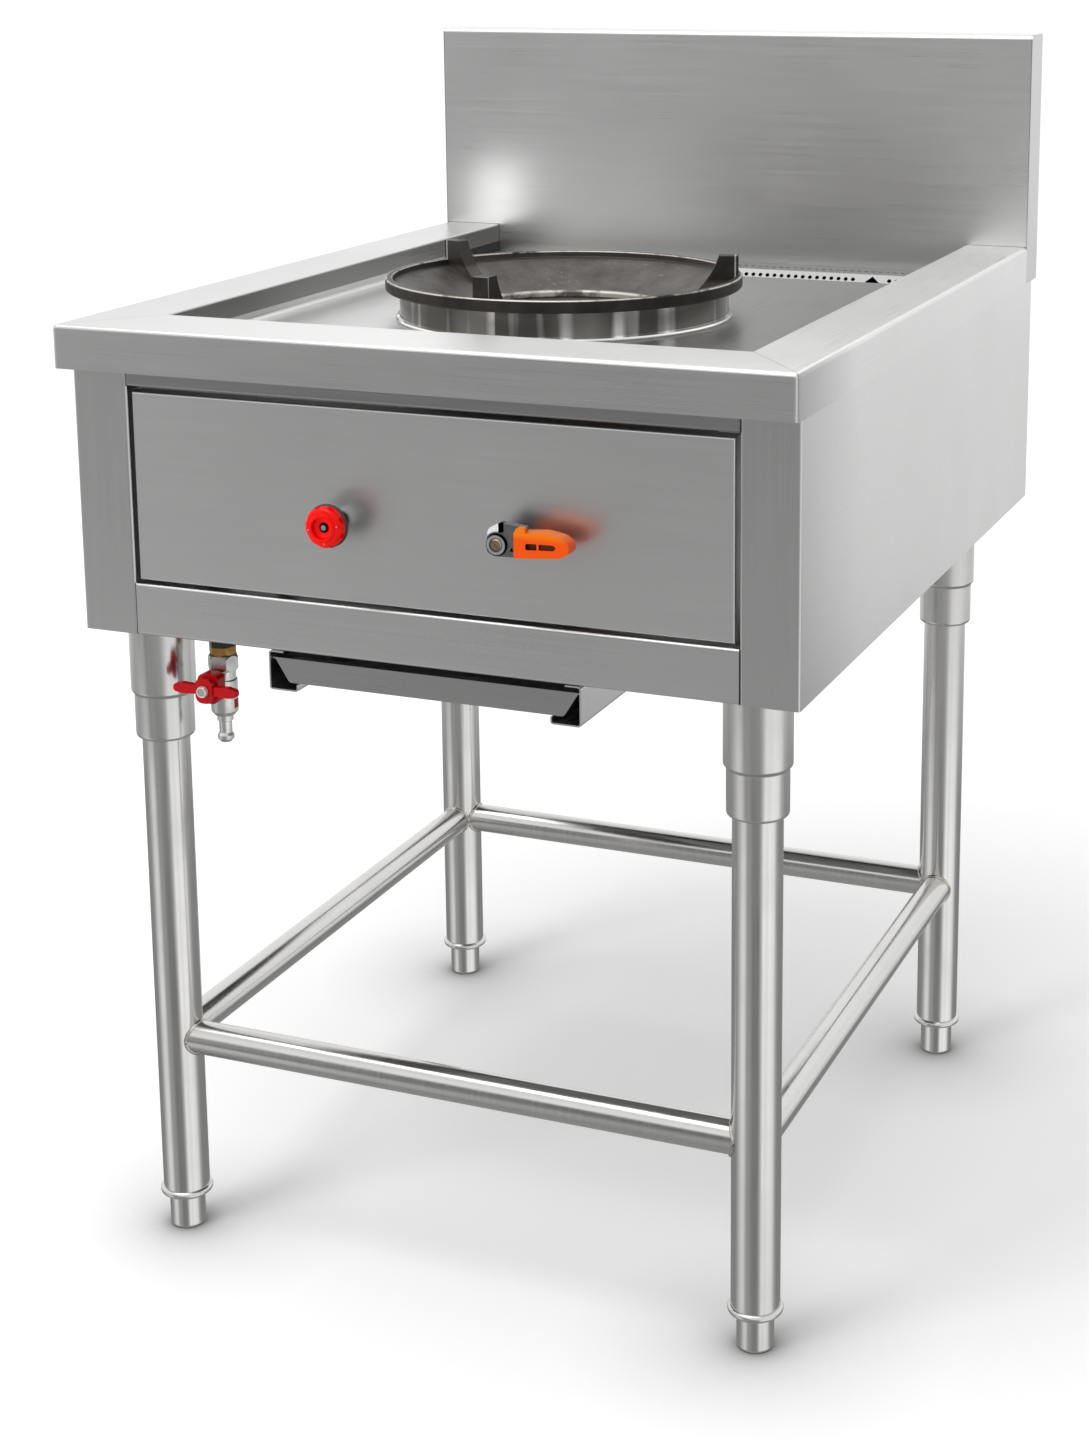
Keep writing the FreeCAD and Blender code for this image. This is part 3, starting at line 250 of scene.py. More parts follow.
def grain(shader, along):
    """A noise of brushed lines that run along X, Y or Z."""
    long_way = 6.0
    across = 900.0
    stretch = tuple(long_way if axis == along else across for axis in "XYZ")
    return shader.noise(1.0, detail=3.0, roughness=0.65, stretch=stretch)


def finish_brushed(shader, lines, base, roughness, tone=1.0):
    """Fine drawn lines, broad handling marks and a faint bump, from a noise of the lines."""
    marks = shader.noise(4.5, detail=4.0, roughness=0.6)
    light = shader.blend(lines, scaled(base, 0.94), scaled(base, 1.06))
    handled = shader.blend(shader.ramp(marks, 0.35, 0.7, 0.0, 0.35), light, scaled(base, 0.93))
    shader.set("Base Color", shader.toned(handled, tone))
    lines_part = shader.ramp(lines, 0.25, 0.75, roughness - 0.04, roughness + 0.05)
    marks_part = shader.ramp(marks, 0.3, 0.75, -0.03, 0.04)
    shader.set("Roughness", shader.math("ADD", lines_part, marks_part))
    shader.bump(lines, 0.05, 0.0002)


def brushed_steel(name, along, lightness=1.0, roughness=sheet_roughness):
    """Sheet steel with its drawn lines along one axis."""
    base = scaled(steel_color, lightness)
    shader = Shader(name, base, roughness, 1.0)
    finish_brushed(shader, grain(shader, along), base, roughness)
    return shader.material


def well_steel(name):
    """The well floor: lines along Y, and darker towards its right."""
    shader = Shader(name, steel_color, sheet_roughness, 1.0)
    tone = shader.ramp(shader.axis("X"), floor_low.x, floor_high.x, 1.15, 0.50)
    finish_brushed(shader, grain(shader, "Y"), steel_color, sheet_roughness, tone)
    return shader.material


def splash_steel(name):
    """The splashback: lines along X on a lighter copy of the sheet steel, which is painted light, and
    painted shade on its returned edges.
    """
    return_face = splash_high.x - 0.0012
    return_painted_shade = 0.66
    # painted light: the splashback's steel is painted lighter than the other sheets
    base = scaled(steel_color, 1.26)
    shader = Shader(name, base, sheet_roughness, 1.0)
    # painted shade: the returned side faces are painted darker than the front
    is_return = shader.math("GREATER_THAN", shader.math("ABSOLUTE", shader.axis("X")), return_face)
    tone = shader.blend_value(is_return, 1.0, return_painted_shade)
    finish_brushed(shader, grain(shader, "X"), base, sheet_roughness, tone)
    return shader.material


def mitred_steel(name):
    """The rim: lines along X in front and along Y at the sides, parted on the mitre, with painted shade in
    the well and by the front fold, and a painted sheen on top.
    """
    mitre_tone = 0.6
    well_painted_shade = 0.48
    well_margin = 0.004
    fold_reach = 0.16
    slope = (rim_high.x - floor_high.x) / (floor_low.y - front)
    shader = Shader(name, steel_color, sheet_roughness, 1.0)
    off_middle = shader.math("ABSOLUTE", shader.axis("X"))
    from_side = shader.math("SUBTRACT", rim_high.x, off_middle)
    from_front = shader.offset("Y", front)
    off_mitre = shader.math("SUBTRACT", shader.both(from_front, slope), from_side)
    is_side = shader.math("GREATER_THAN", off_mitre, 0.0)
    mitre = shader.ramp(shader.math("ABSOLUTE", off_mitre), 0.0003, 0.0009, mitre_tone, 1.0)
    # painted shade: the well's walls are painted darker
    in_well = shader.both(shader.math("LESS_THAN", off_middle, floor_high.x + well_margin),
                          shader.math("GREATER_THAN", shader.axis("Y"), floor_low.y - well_margin))
    # painted shade: the sides are painted darker near the front fold
    fold_shade = shader.blend_value(is_side, 1.0, shader.ramp(from_front, 0.0, fold_reach, 0.56, 1.10))
    upright_painted_shade = shader.blend_value(in_well, fold_shade, well_painted_shade)
    # painted sheen: the top face is painted lighter, more so towards the right
    top_painted_sheen = shader.ramp(shader.axis("X"), rim_low.x, rim_high.x, 1.02, 1.46)
    is_top = shader.ramp(shader.axis("Z"), top - 0.0014, top - 0.0004)
    tone = shader.blend_value(is_top, upright_painted_shade, top_painted_sheen)
    lines = shader.blend_value(is_side, grain(shader, "X"), grain(shader, "Y"))
    finish_brushed(shader, lines, steel_color, sheet_roughness, shader.both(mitre, tone))
    return shader.material


def folded_steel(name):
    """Side sheets: lines along Y on the side and upright on the folded pillar, with painted shade near the
    fold and on the pillar face.
    """
    pillar_painted_shade = 0.9
    fold_reach = 0.16
    shader = Shader(name, steel_color, sheet_roughness, 1.0)
    from_fold = shader.offset("Y", body_front)
    is_pillar = shader.math("LESS_THAN", from_fold, sheet)
    # painted shade: the side is painted darker near the fold, and the pillar face a little darker
    side_painted_shade = shader.ramp(from_fold, 0.0, fold_reach, 0.78, 1.08)
    tone = shader.blend_value(is_pillar, side_painted_shade, pillar_painted_shade)
    lines = shader.blend_value(is_pillar, grain(shader, "Y"), grain(shader, "Z"))
    finish_brushed(shader, lines, steel_color, sheet_roughness, tone)
    return shader.material


# ---------------------------------------------------------------- tubes, castings and fittings
def polished_tube(name):
    """Tube steel polished lengthwise: faint long streaks and a soft shine."""
    base = (0.66, 0.655, 0.64)
    shader = Shader(name, base, 0.16, 1.0)
    streaks = shader.noise(1.0, detail=3.0, roughness=0.6, stretch=(260.0, 260.0, 9.0))
    marks = shader.noise(14.0, detail=4.0, roughness=0.6)
    light = shader.blend(streaks, scaled(base, 0.9), scaled(base, 1.06))
    dull = shader.ramp(marks, 0.4, 0.75, 0.0, 0.4)
    shader.set("Base Color", shader.blend(dull, light, scaled(base, 0.88)))
    streaks_part = shader.ramp(streaks, 0.3, 0.7, 0.13, 0.21)
    marks_part = shader.ramp(marks, 0.35, 0.75, -0.02, 0.06)
    shader.set("Roughness", shader.math("ADD", streaks_part, marks_part))
    shader.bump(streaks, 0.08, 0.0002)
    return shader.material


def collar_steel(name):
    """The collar round the fire: grey and straw heat tint whose darkness is partly painted dark
    reflection, upright streaks of painted reflection, and a bright foot bead.
    """
    dark_tint_and_painted_reflection = (0.14, 0.135, 0.125)
    light_tint_and_painted_reflection = (0.31, 0.30, 0.28)
    painted_reflection_band = (0.88, 0.87, 0.85)
    bead_color = (0.92, 0.92, 0.91)
    shader = Shader(name, steel_color, 0.14, 1.0)
    height = shader.axis("Z")
    turn = shader.math("ARCTAN2", shader.offset("X", ring_middle.x), shader.offset("Y", ring_middle.y))
    around = shader.add("ShaderNodeCombineXYZ")
    shader.join(turn, around.inputs[0])
    shader.join(shader.both(height, 0.4), around.inputs[2])
    reflection_bands = shader.noise(6.0, detail=2.0, vector=around.outputs[0])
    broad = shader.noise(2.4, detail=1.0, vector=around.outputs[0])
    # partly heat tint and partly painted dark reflection: the collar's dark base
    tint = shader.blend(shader.ramp(broad, 0.42, 0.62), dark_tint_and_painted_reflection, light_tint_and_painted_reflection)
    # painted reflection: bright upright streaks
    painted_streaks = shader.blend(shader.ramp(reflection_bands, 0.53, 0.66), tint, painted_reflection_band)
    foot_bead = shader.ramp(height, collar_foot + 0.0030, collar_foot + 0.0046, 1.0, 0.0)
    shader.set("Base Color", shader.blend(foot_bead, painted_streaks, bead_color))
    shader.set("Roughness", shader.ramp(reflection_bands, 0.35, 0.7, 0.22, 0.12))
    shader.bump(reflection_bands, 0.08, 0.0004)
    return shader.material


def turned_metal(name, base, roughness, metallic=1.0):
    """Small turned or plated fittings, with fine marks and dull patches."""
    shader = Shader(name, base, roughness, metallic)
    rings = shader.noise(900.0)
    marks = shader.noise(60.0, detail=4.0, roughness=0.65)
    dull = shader.ramp(marks, 0.35, 0.7)
    shader.set("Base Color", shader.blend(dull, scaled(base, 1.05), scaled(base, 0.78)))
    shader.set("Roughness", shader.ramp(marks, 0.3, 0.75, roughness - 0.05, roughness + 0.12))
    shader.bump(rings, 0.10, 0.0002)
    return shader.material


def plain_steel(name, base):
    """Mill-finish steel of the parts under and inside the body."""
    shader = Shader(name, base, 0.42, 1.0)
    mill_skin = shader.noise(180.0, detail=4.0, roughness=0.6)
    marks = shader.noise(9.0, detail=5.0, roughness=0.6)
    light = shader.blend(mill_skin, scaled(base, 0.92), scaled(base, 1.05))
    dull = shader.ramp(marks, 0.4, 0.75, 0.0, 0.6)
    shader.set("Base Color", shader.blend(dull, light, scaled(base, 0.72)))
    shader.set("Roughness", shader.ramp(marks, 0.3, 0.75, 0.36, 0.52))
    shader.bump(mill_skin, 0.1, 0.0003)
    return shader.material


def cast_iron(name):
    """Black iron: sandy skin, a heat-greyed dish, painted highlights on the band's edges and bare metal in
    the throat.
    """
    band_radius = (ring_high.x - ring_low.x) / 2.0
    outer_edge = band_radius - 0.0009
    inner_edge = band_radius - 0.0068
    dish_edge = band_radius - 0.007
    throat_edge = band_radius - 0.0765
    band_top = top + 0.0104
    dish_top = top + 0.003
    throat_top = top - 0.025
    bare_iron_and_highlight = (0.62, 0.58, 0.54)
    shader = Shader(name, (0.03, 0.028, 0.026), 0.55, 0.55)
    radius = shader.radius(shader.offset("X", ring_middle.x), shader.offset("Y", ring_middle.y))
    height = shader.axis("Z")
    in_dish = shader.both(shader.ramp(radius, dish_edge - 0.006, dish_edge, 1.0, 0.0),
                          shader.ramp(height, dish_top, dish_top + 0.004, 1.0, 0.0))
    # painted highlight: bright lines on the band's outer and inner top edges
    edges = shader.math("MAXIMUM", shader.near(radius, outer_edge, 0.0004, 0.0013),
                        shader.near(radius, inner_edge, 0.0003, 0.0010))
    on_band = shader.ramp(height, band_top - 0.0008, band_top)
    throat = shader.both(shader.ramp(radius, throat_edge, throat_edge + 0.0023, 1.0, 0.0),
                         shader.ramp(height, throat_top - 0.003, throat_top))
    sand = shader.noise(520.0, detail=5.0, roughness=0.65)
    soot = shader.noise(38.0, detail=5.0, roughness=0.6)
    scratches = shader.noise(95.0, detail=3.0, distortion=2.5)
    skin = shader.blend(shader.ramp(soot, 0.35, 0.7), (0.018, 0.016, 0.015), (0.045, 0.039, 0.034))
    dish = shader.blend(shader.ramp(soot, 0.3, 0.72), (0.135, 0.125, 0.115), (0.060, 0.052, 0.047))
    dish = shader.blend(shader.ramp(scratches, 0.66, 0.72, 0.0, 0.6), dish, (0.30, 0.27, 0.23))
    # bare holds the painted edge highlights and the bare metal of the throat
    bare = shader.math("MAXIMUM", shader.both(edges, on_band), throat)
    patchy_bare_and_highlight = shader.both(bare, shader.ramp(soot, 0.36, 0.5))
    shader.set("Base Color", shader.blend(patchy_bare_and_highlight, shader.blend(in_dish, skin, dish), bare_iron_and_highlight))
    shader.set("Roughness", shader.ramp(sand, 0.3, 0.75, 0.34, 0.56))
    shader.bump(sand, 0.45, 0.0006)
    return shader.material


def lever_metal(name):
    """The lever's arm: grey casting, a painted highlight on its polished top-left bevel, painted shade in
    its slit and in a ring round the boss, and a bright boss by the screw.
    """
    polished = (0.92, 0.92, 0.92)
    boss_color = (0.66, 0.66, 0.67)
    dark = (0.012, 0.012, 0.012)
    boss_radius = 0.0072
    groove_radius = 0.0092
    slot_x = 0.0033
    shader = Shader(name, (0.24, 0.25, 0.26), 0.30, 1.0)
    off_x = shader.offset("X", screw_middle.x)
    off_z = shader.offset("Z", screw_middle.z)
    radius = shader.radius(off_x, off_z)
    marks = shader.noise(240.0, detail=4.0, roughness=0.6)
    casting = shader.blend(marks, (0.16, 0.165, 0.17), (0.32, 0.33, 0.34))
    # painted highlight: a near-white, mostly non-metallic patch at the top left
    upper_left = shader.both(shader.math("LESS_THAN", off_x, 0.0015), shader.ramp(off_z, 0.002, 0.005))
    shoulder_highlight = shader.both(upper_left, shader.ramp(radius, 0.0105, 0.0115))
    above_screw = shader.math("GREATER_THAN", off_z, 0.0105)
    # painted shade: dark in the slit above the screw and in a ring round the boss
    slot_shade = shader.both(above_screw, shader.near(off_x, slot_x, 0.0014, 0.0020))
    boss = shader.near(radius, boss_radius, 0.0010, 0.0014)
    groove_shade = shader.near(radius, groove_radius, 0.0004, 0.0009)
    color = shader.blend(shoulder_highlight, casting, polished)
    color = shader.blend(boss, color, boss_color)
    shader.set("Base Color", shader.blend(shader.math("MAXIMUM", slot_shade, groove_shade), color, dark))
    shader.set("Metallic", shader.ramp(shoulder_highlight, 0.0, 1.0, 1.0, 0.15))
    shader.set("Roughness", shader.ramp(marks, 0.3, 0.7, 0.24, 0.38))
    shader.bump(marks, 0.15, 0.0002)
    return shader.material


def banded_brass(name):
    """The union nut: golden in its lower half and dark above."""
    shader = Shader(name, (0.46, 0.29, 0.09), 0.28, 1.0)
    marks = shader.noise(160.0, detail=4.0)
    uneven_height = shader.math("ADD", shader.axis("Z"), shader.both(marks, 0.0012))
    gold = shader.blend(marks, (0.62, 0.36, 0.11), (0.30, 0.16, 0.05))
    upper_dark = shader.blend(marks, (0.030, 0.030, 0.032), (0.10, 0.095, 0.09))
    is_upper = shader.ramp(uneven_height, nut_middle.z + 0.0004, nut_middle.z + 0.0010)
    shader.set("Base Color", shader.blend(is_upper, gold, upper_dark))
    shader.set("Roughness", shader.ramp(marks, 0.3, 0.7, 0.22, 0.40))
    shader.bump(marks, 0.12, 0.0003)
    return shader.material


def stem_end(name):
    """The pilot valve's stem: a bright end in the knob's hole, with painted shade towards its edge."""
    shader = Shader(name, (0.60, 0.60, 0.585), 0.3, 1.0)
    radius = shader.radius(shader.offset("X", knob_middle.x), shader.offset("Z", knob_middle.z))
    marks = shader.noise(300.0, detail=3.0)
    bright = shader.blend(marks, (0.70, 0.69, 0.67), (0.42, 0.41, 0.39))
    # painted shade: the stem's end is painted dark towards the rim of the knob's hole
    edge_shade = shader.ramp(radius, 0.0021, 0.0026)
    shader.set("Base Color", shader.blend(edge_shade, bright, (0.02, 0.015, 0.015)))
    shader.set("Roughness", shader.ramp(marks, 0.3, 0.7, 0.26, 0.42))
    return shader.material


def seam_gap(name):
    """The dark line of a closed joint between two sheets."""
    shader = Shader(name, (0.06, 0.06, 0.06), 0.6, 0.3)
    dirt_and_shade = shader.noise(240.0, detail=3.0)
    shader.set("Base Color", shader.blend(dirt_and_shade, (0.03, 0.03, 0.03), (0.14, 0.14, 0.138)))
    return shader.material


def weld_metal(name):
    """Bright weld metal with a straw and grey heat tint in patches."""
    base = (0.62, 0.60, 0.57)
    shader = Shader(name, base, 0.26, 1.0)
    tint = shader.noise(90.0, detail=3.0)
    shader.set("Base Color", shader.blend(shader.ramp(tint, 0.4, 0.7), base, (0.36, 0.32, 0.28)))
    shader.set("Roughness", shader.ramp(tint, 0.3, 0.7, 0.22, 0.36))
    shader.bump(shader.noise(700.0, detail=3.0), 0.25, 0.0003)
    return shader.material


# ---------------------------------------------------------------- plastics
plastic_specular = 0.2


def moulded(name, base, roughness):
    """Gloss moulding with a faint orange-peel skin and rubbed patches."""
    shader = Shader(name, base, roughness)
    shader.set("Specular IOR Level", plastic_specular)
    peel = shader.noise(1400.0)
    rubbed = shader.noise(120.0, detail=4.0, roughness=0.6)
    dull = shader.ramp(rubbed, 0.4, 0.75, 0.0, 0.5)
    shader.set("Base Color", shader.blend(dull, base, scaled(base, 0.82)))
    shader.set("Roughness", shader.ramp(rubbed, 0.3, 0.75, roughness - 0.05, roughness + 0.10))
    shader.bump(peel, 0.10, 0.0002)
    return shader.material


def grip_orange(name):
    """The lever's grip: orange, with a painted highlight that turns it more golden towards its top edge,
    and painted shade in its recesses.
    """
    orange = (0.96, 0.095, 0.0005)
    highlight_yellow = (0.98, 0.20, 0.002)
    dirt_and_shade = (0.10, 0.022, 0.004)
    recess_x = screw_middle.x + 0.0421
    recess_z = screw_middle.z + 0.0018
    recess_half_width = 0.0146
    recess_half_height = 0.0034
    shader = Shader(name, orange, 0.28)
    shader.set("Specular IOR Level", plastic_specular)
    peel = shader.noise(1400.0)
    across = shader.math("ABSOLUTE", shader.offset("X", recess_x))
    up = shader.math("ABSOLUTE", shader.offset("Z", recess_z))
    in_recess = shader.both(shader.math("LESS_THAN", across, recess_half_width),
                            shader.math("LESS_THAN", up, recess_half_height))
    # painted shade: dark brown in the recesses
    sunk_shade = shader.both(shader.math("GREATER_THAN", shader.axis("Y"), grip_face + 0.0008), in_recess)
    # painted highlight: more golden towards the top
    top_highlight = shader.ramp(shader.axis("Z"), screw_middle.z + 0.0065, screw_middle.z + 0.0115)
    shader.set("Base Color", shader.blend(sunk_shade, shader.blend(top_highlight, orange, highlight_yellow), dirt_and_shade))
    shader.set("Roughness", shader.ramp(peel, 0.3, 0.7, 0.24, 0.34))
    shader.bump(peel, 0.10, 0.0002)
    return shader.material


def skirt_black(name):
    """The knob's black skirt, with the bare steel neck behind it."""
    shader = Shader(name, (0.012, 0.012, 0.012), 0.38)
    is_neck = shader.math("GREATER_THAN", shader.axis("Y"), front + 0.001)
    scuffs = shader.noise(140.0, detail=4.0)
    skirt = shader.blend(scuffs, (0.009, 0.009, 0.009), (0.020, 0.020, 0.019))
    shader.set("Base Color", shader.blend(is_neck, skirt, scaled(steel_color, 0.9)))
    shader.set("Metallic", is_neck)
    shader.set("Roughness", shader.ramp(scuffs, 0.3, 0.7, 0.32, 0.44))
    return shader.material


# ---------------------------------------------------------------- welds, seams and marks
def add_piece(name, mesh, material, body):
    """Put a mesh in the scene with its finish, riding on a body."""
    mesh.materials.append(material)
    piece = bpy.data.objects.new(name, mesh)
    bpy.context.scene.collection.objects.link(piece)
    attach(piece, body)


def bead(name, path, radius, material, body, closed=False, ripple=0.0):
    """A thin round bead along a path of points, with the ripples of a weld if it is one."""
    sides = 8
    ripple_turn = 2.4
    count = len(path)
    form = bmesh.new()
    rings = []
    for i, point in enumerate(path):
        ahead = path[(i + 1) % count] if closed else path[min(i + 1, count - 1)]
        behind = path[i - 1] if closed else path[max(i - 1, 0)]
        turn = (ahead - behind).normalized().to_track_quat("Z", "Y")
        here = radius * (1.0 + ripple * math.sin(ripple_turn * i))
        ring = []
        for k in range(sides):
            angle = 2.0 * math.pi * k / sides
            offset = Vector((here * math.cos(angle), here * math.sin(angle), 0.0))
            ring.append(form.verts.new(point + turn @ offset))
        rings.append(ring)
    pairs = list(zip(rings, rings[1:]))
    if closed:
        pairs.append((rings[-1], rings[0]))
    for first, second in pairs:
        for k in range(sides):
            form.faces.new((first[k], first[(k + 1) % sides], second[(k + 1) % sides], second[k]))
    if not closed:
        form.faces.new(rings[0][::-1])
        form.faces.new(rings[-1])
    bmesh.ops.recalc_face_normals(form, faces=form.faces)
    for face in form.faces:
        face.smooth = True
    mesh = bpy.data.meshes.new(name)
    form.to_mesh(mesh)
    form.free()
    add_piece(name, mesh, material, body)


def line(start, end, steps=8):
    """Points along a straight run."""
    start = Vector(start)
    end = Vector(end)
    return [start.lerp(end, i / steps) for i in range(steps + 1)]


def weld_path(leg_middle, leg_radius, brace_radius, along):
    """The curve where a round brace that runs one way meets an upright round leg."""
    steps = 72
    proud = 0.0006
    across = along.cross(Vector((0.0, 0.0, 1.0)))
    path = []
    for i in range(steps):
        angle = 2.0 * math.pi * i / steps
        aside = brace_radius * math.cos(angle)
        reach = math.sqrt(leg_radius ** 2 - aside ** 2) + proud
        rise = Vector((0.0, 0.0, brace_radius * math.sin(angle)))
        path.append(leg_middle + rise + along * reach + across * aside)
    return path


def make_brace_welds(material):
    """The weld bead round each brace end, where the brace meets its leg."""
    bead_radius = 0.0016
    ripple = 0.14
    height = (brace_low.z + brace_high.z) / 2.0
    brace_radius = (brace_high.z - brace_low.z) / 2.0
    for depth_name, inward_y in (("front", 1.0), ("rear", -1.0)):
        for side_name, inward_x in (("left", 1.0), ("right", -1.0)):
            leg_low, leg_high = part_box("leg_%s_%s" % (depth_name, side_name))
            leg_radius = (leg_high.x - leg_low.x) / 2.0
            leg_middle = (leg_low + leg_high) / 2.0
            leg_middle.z = height
            for label, along in (("x", Vector((inward_x, 0.0, 0.0))), ("y", Vector((0.0, inward_y, 0.0)))):
                path = weld_path(leg_middle, leg_radius, brace_radius, along)
                bead("weld_%s_%s_%s" % (depth_name, side_name, label), path, bead_radius, material, root,
                     closed=True, ripple=ripple)


def make_seams(material):
    """Dark lines where separate sheets meet: rail ends and the splashback's foot."""
    width = 0.00035
    back_y = splash_low.y
    wall_foot = floor_low.z + 0.012

    def seam(name, start, end):
        bead(name, line(start, end), width, material, root)

    for label, x in (("left", top_rail_low.x), ("right", top_rail_high.x)):
        seam("seam_top_rail_" + label, (x, body_front, top_rail_low.z), (x, body_front, rim_low.z))
        seam("seam_bottom_rail_" + label, (x, body_front, bottom_rail_low.z),
             (x, body_front, bottom_rail_high.z))
    for label, outer, inner in (("left", rim_low.x + width, floor_low.x + sheet),
                                ("right", rim_high.x - width, floor_high.x - sheet)):
        seam("seam_splash_" + label, (outer, back_y, top), (inner, back_y, top))
        seam("seam_splash_wall_" + label, (inner, back_y, top), (inner, back_y, wall_foot))


def make_knob_marks(material):
    """Three plain raised ticks on the knob's face."""
    tick_start = 0.0128
    tick_length = 0.0018
    tick_width = 0.0003
    middle = Vector((knob_middle.x, knob_face + 0.0020, knob_middle.z))
    for label, turn in (("left", 190.0), ("right", 10.0), ("low", 275.0)):
        angle = math.radians(turn)
        outward = Vector((math.cos(angle), 0.0, math.sin(angle)))
        start = middle + outward * tick_start
        bead("knob_mark_" + label, line(start, start + outward * tick_length, 3), tick_width, material,
             "pilot_knob")


def make_valve_patch(material):
    """A plain red patch painted on the inlet valve's side."""
    first_angle = -14.0
    swept_angle = 30.0
    columns = 8
    height = 0.0085
    low_z = valve_low.z + 0.0075
    radius = (valve_high.x - valve_low.x) / 2.0 + 0.00012
    points = []
    for i in range(columns + 1):
        angle = math.radians(first_angle + swept_angle * i / columns)
        x = valve_middle.x + radius * math.cos(angle)
        y = nut_middle.y + radius * math.sin(angle)
        points += [(x, y, low_z), (x, y, low_z + height)]
    faces = [(2 * i, 2 * i + 2, 2 * i + 3, 2 * i + 1) for i in range(columns)]
    mesh = bpy.data.meshes.new("valve_patch")
    mesh.from_pydata(points, [], faces)
    add_piece("valve_patch", mesh, material, root)


def make_trim():
    """Welds, seams and marks that ride on the CAD."""
    make_brace_welds(weld_metal("weld_metal"))
    make_seams(seam_gap("seam_gap"))
    make_knob_marks(moulded("white_mark", (0.75, 0.73, 0.70), 0.4))
    make_valve_patch(moulded("red_paint", (0.45, 0.02, 0.02), 0.4))


# ---------------------------------------------------------------- finishes of the nodes
def dress(material, *names):
    """Give the named nodes one finish."""
    for name in names:
        slots = nodes[name].data.materials
        if len(slots) == 0:
            slots.append(material)
        for index in range(len(slots)):
            slots[index] = material


def dress_body():
    """The folded sheets of the body, the worktop and the tray."""
    dress(mitred_steel("rim_steel"), "worktop_rim")
    dress(brushed_steel("steel_across", "X"), "bottom_rail", "splashback_back", "rear_panel")
    dress(brushed_steel("panel_steel", "X", roughness=0.36), "front_panel")
    dress(splash_steel("splash_steel"), "splashback")
    # painted shade: the top rail, the tray and the strainer are darker copies of the sheet steel
    dress(brushed_steel("shaded_rail_steel", "X", lightness=0.58), "top_rail")
    dress(brushed_steel("shaded_tray_steel", "X", lightness=0.66), "drip_tray")
    dress(brushed_steel("shaded_strainer_steel", "X", lightness=0.42, roughness=0.38), "strainer")
    dress(well_steel("well_steel"), "well_floor")
    dress(brushed_steel("runner_steel", "Y"), "tray_runners")
    dress(folded_steel("side_steel"), "left_side_panel", "right_side_panel")


def dress_stand():
    """The tube stand and the plain steel under and inside the body."""
    dress(polished_tube("tube_polish"), "leg_front_left", "leg_front_right", "leg_rear_left",
          "leg_rear_right", "leg_braces", "foot_collars", "foot_front_left", "foot_front_right",
          "foot_rear_left", "foot_rear_right", "leg_sleeves")
    # painted shade: the drain gutter is a near-black copy of the mill steel
    dress(plain_steel("shaded_gutter_steel", (0.07, 0.07, 0.07)), "drain_gutter")
    dress(plain_steel("mill_steel", (0.42, 0.42, 0.415)), "under_frame", "leg_plates", "tray_crossbars",
          "drain_outlet", "burner_chamber", "burner_bracket", "manifold_brackets", "gas_manifold",
          "burner_supply_tube", "pilot_tube")


def dress_burner():
    """The ring, its collar and the burner under it."""
    dress(collar_steel("collar_polish"), "burner_collar")
    dress(cast_iron("iron"), "wok_ring", "burner_mixer")
    dress(turned_metal("burner_metal", (0.75, 0.73, 0.70), 0.28), "burner_head")


def dress_fittings():
    """Gas fittings and controls."""
    dress(turned_metal("plain_brass", (0.46, 0.29, 0.09), 0.28), "gas_jet", "pilot_burner",
          "burner_valve_body", "pilot_valve_body", "valve_gland_nuts", "manifold_plug")
    dress(banded_brass("union_brass"), "inlet_union_nut")
    dress(turned_metal("bronzed_screw", (0.36, 0.30, 0.24), 0.35), "lever_screw")
    dress(turned_metal("nickel_plate", (0.70, 0.70, 0.685), 0.24), "inlet_adapter", "inlet_valve_body",
          "inlet_valve_ball", "inlet_valve_stem", "hose_barb", "burner_valve_plug")
    dress(turned_metal("zinc_nut", (0.80, 0.79, 0.76), 0.40, metallic=0.3), "inlet_handle_nut")
    dress(stem_end("stem_end"), "pilot_valve_plug")
    dress(lever_metal("lever_casting"), "burner_lever")
    dress(moulded("red_gloss", (0.95, 0.002, 0.001), 0.22), "pilot_knob")
    dress(moulded("dark_red_gloss", (0.50, 0.003, 0.006), 0.22), "inlet_handle")
    dress(grip_orange("orange_gloss"), "lever_grip")
    dress(skirt_black("black_satin"), "knob_skirt")


# ---------------------------------------------------------------- studio
# Brightness of the room as metal sees it, by bearing: 0 is in front of the range, 90 to its right.
# Black flags stand between white walls, as a photographer sets them for polished metal.
near_floor = [(-180, 0.28), (-118, 0.28), (-86, 0.32), (-70, 0.60), (-52, 1.05), (-38, 0.95), (-28, 0.45),
              (-12, 0.42), (0, 0.26), (25, 0.25), (36, 0.60), (46, 1.35), (60, 1.10), (75, 1.30),
              (98, 1.10), (112, 0.50), (126, 0.30), (180, 0.28)]
far_floor = [(-180, 0.82), (-120, 0.8), (-90, 0.6), (-60, 0.4), (-40, 0.27), (-27, 0.25), (-18, 0.36),
             (-8, 0.38), (20, 0.5), (60, 0.9), (110, 0.9), (140, 0.80), (180, 0.82)]
skyline = [(-180, 1.05), (-110, 1.05), (-60, 0.8), (-34, 0.55), (-25, 0.24), (-15, 0.20), (-10, 0.34),
           (0, 0.5), (40, 0.8), (100, 1.0), (180, 1.05)]


def by_bearing(room, turn, stops):
    """Brightness round the room: stops of (bearing in degrees, brightness up to 2)."""
    node = room.add("ShaderNodeValToRGB")
    room.join(turn, node.inputs["Fac"])
    elements = node.color_ramp.elements
    while len(elements) < len(stops):
        elements.new(0.5)
    for element, (bearing, brightness) in zip(elements, stops):
        half = brightness / 2.0
        element.position = bearing / 360.0 + 0.5
        element.color = (half, half, half, 1.0)
    return room.math("MULTIPLY", node.outputs["Color"], 2.0)


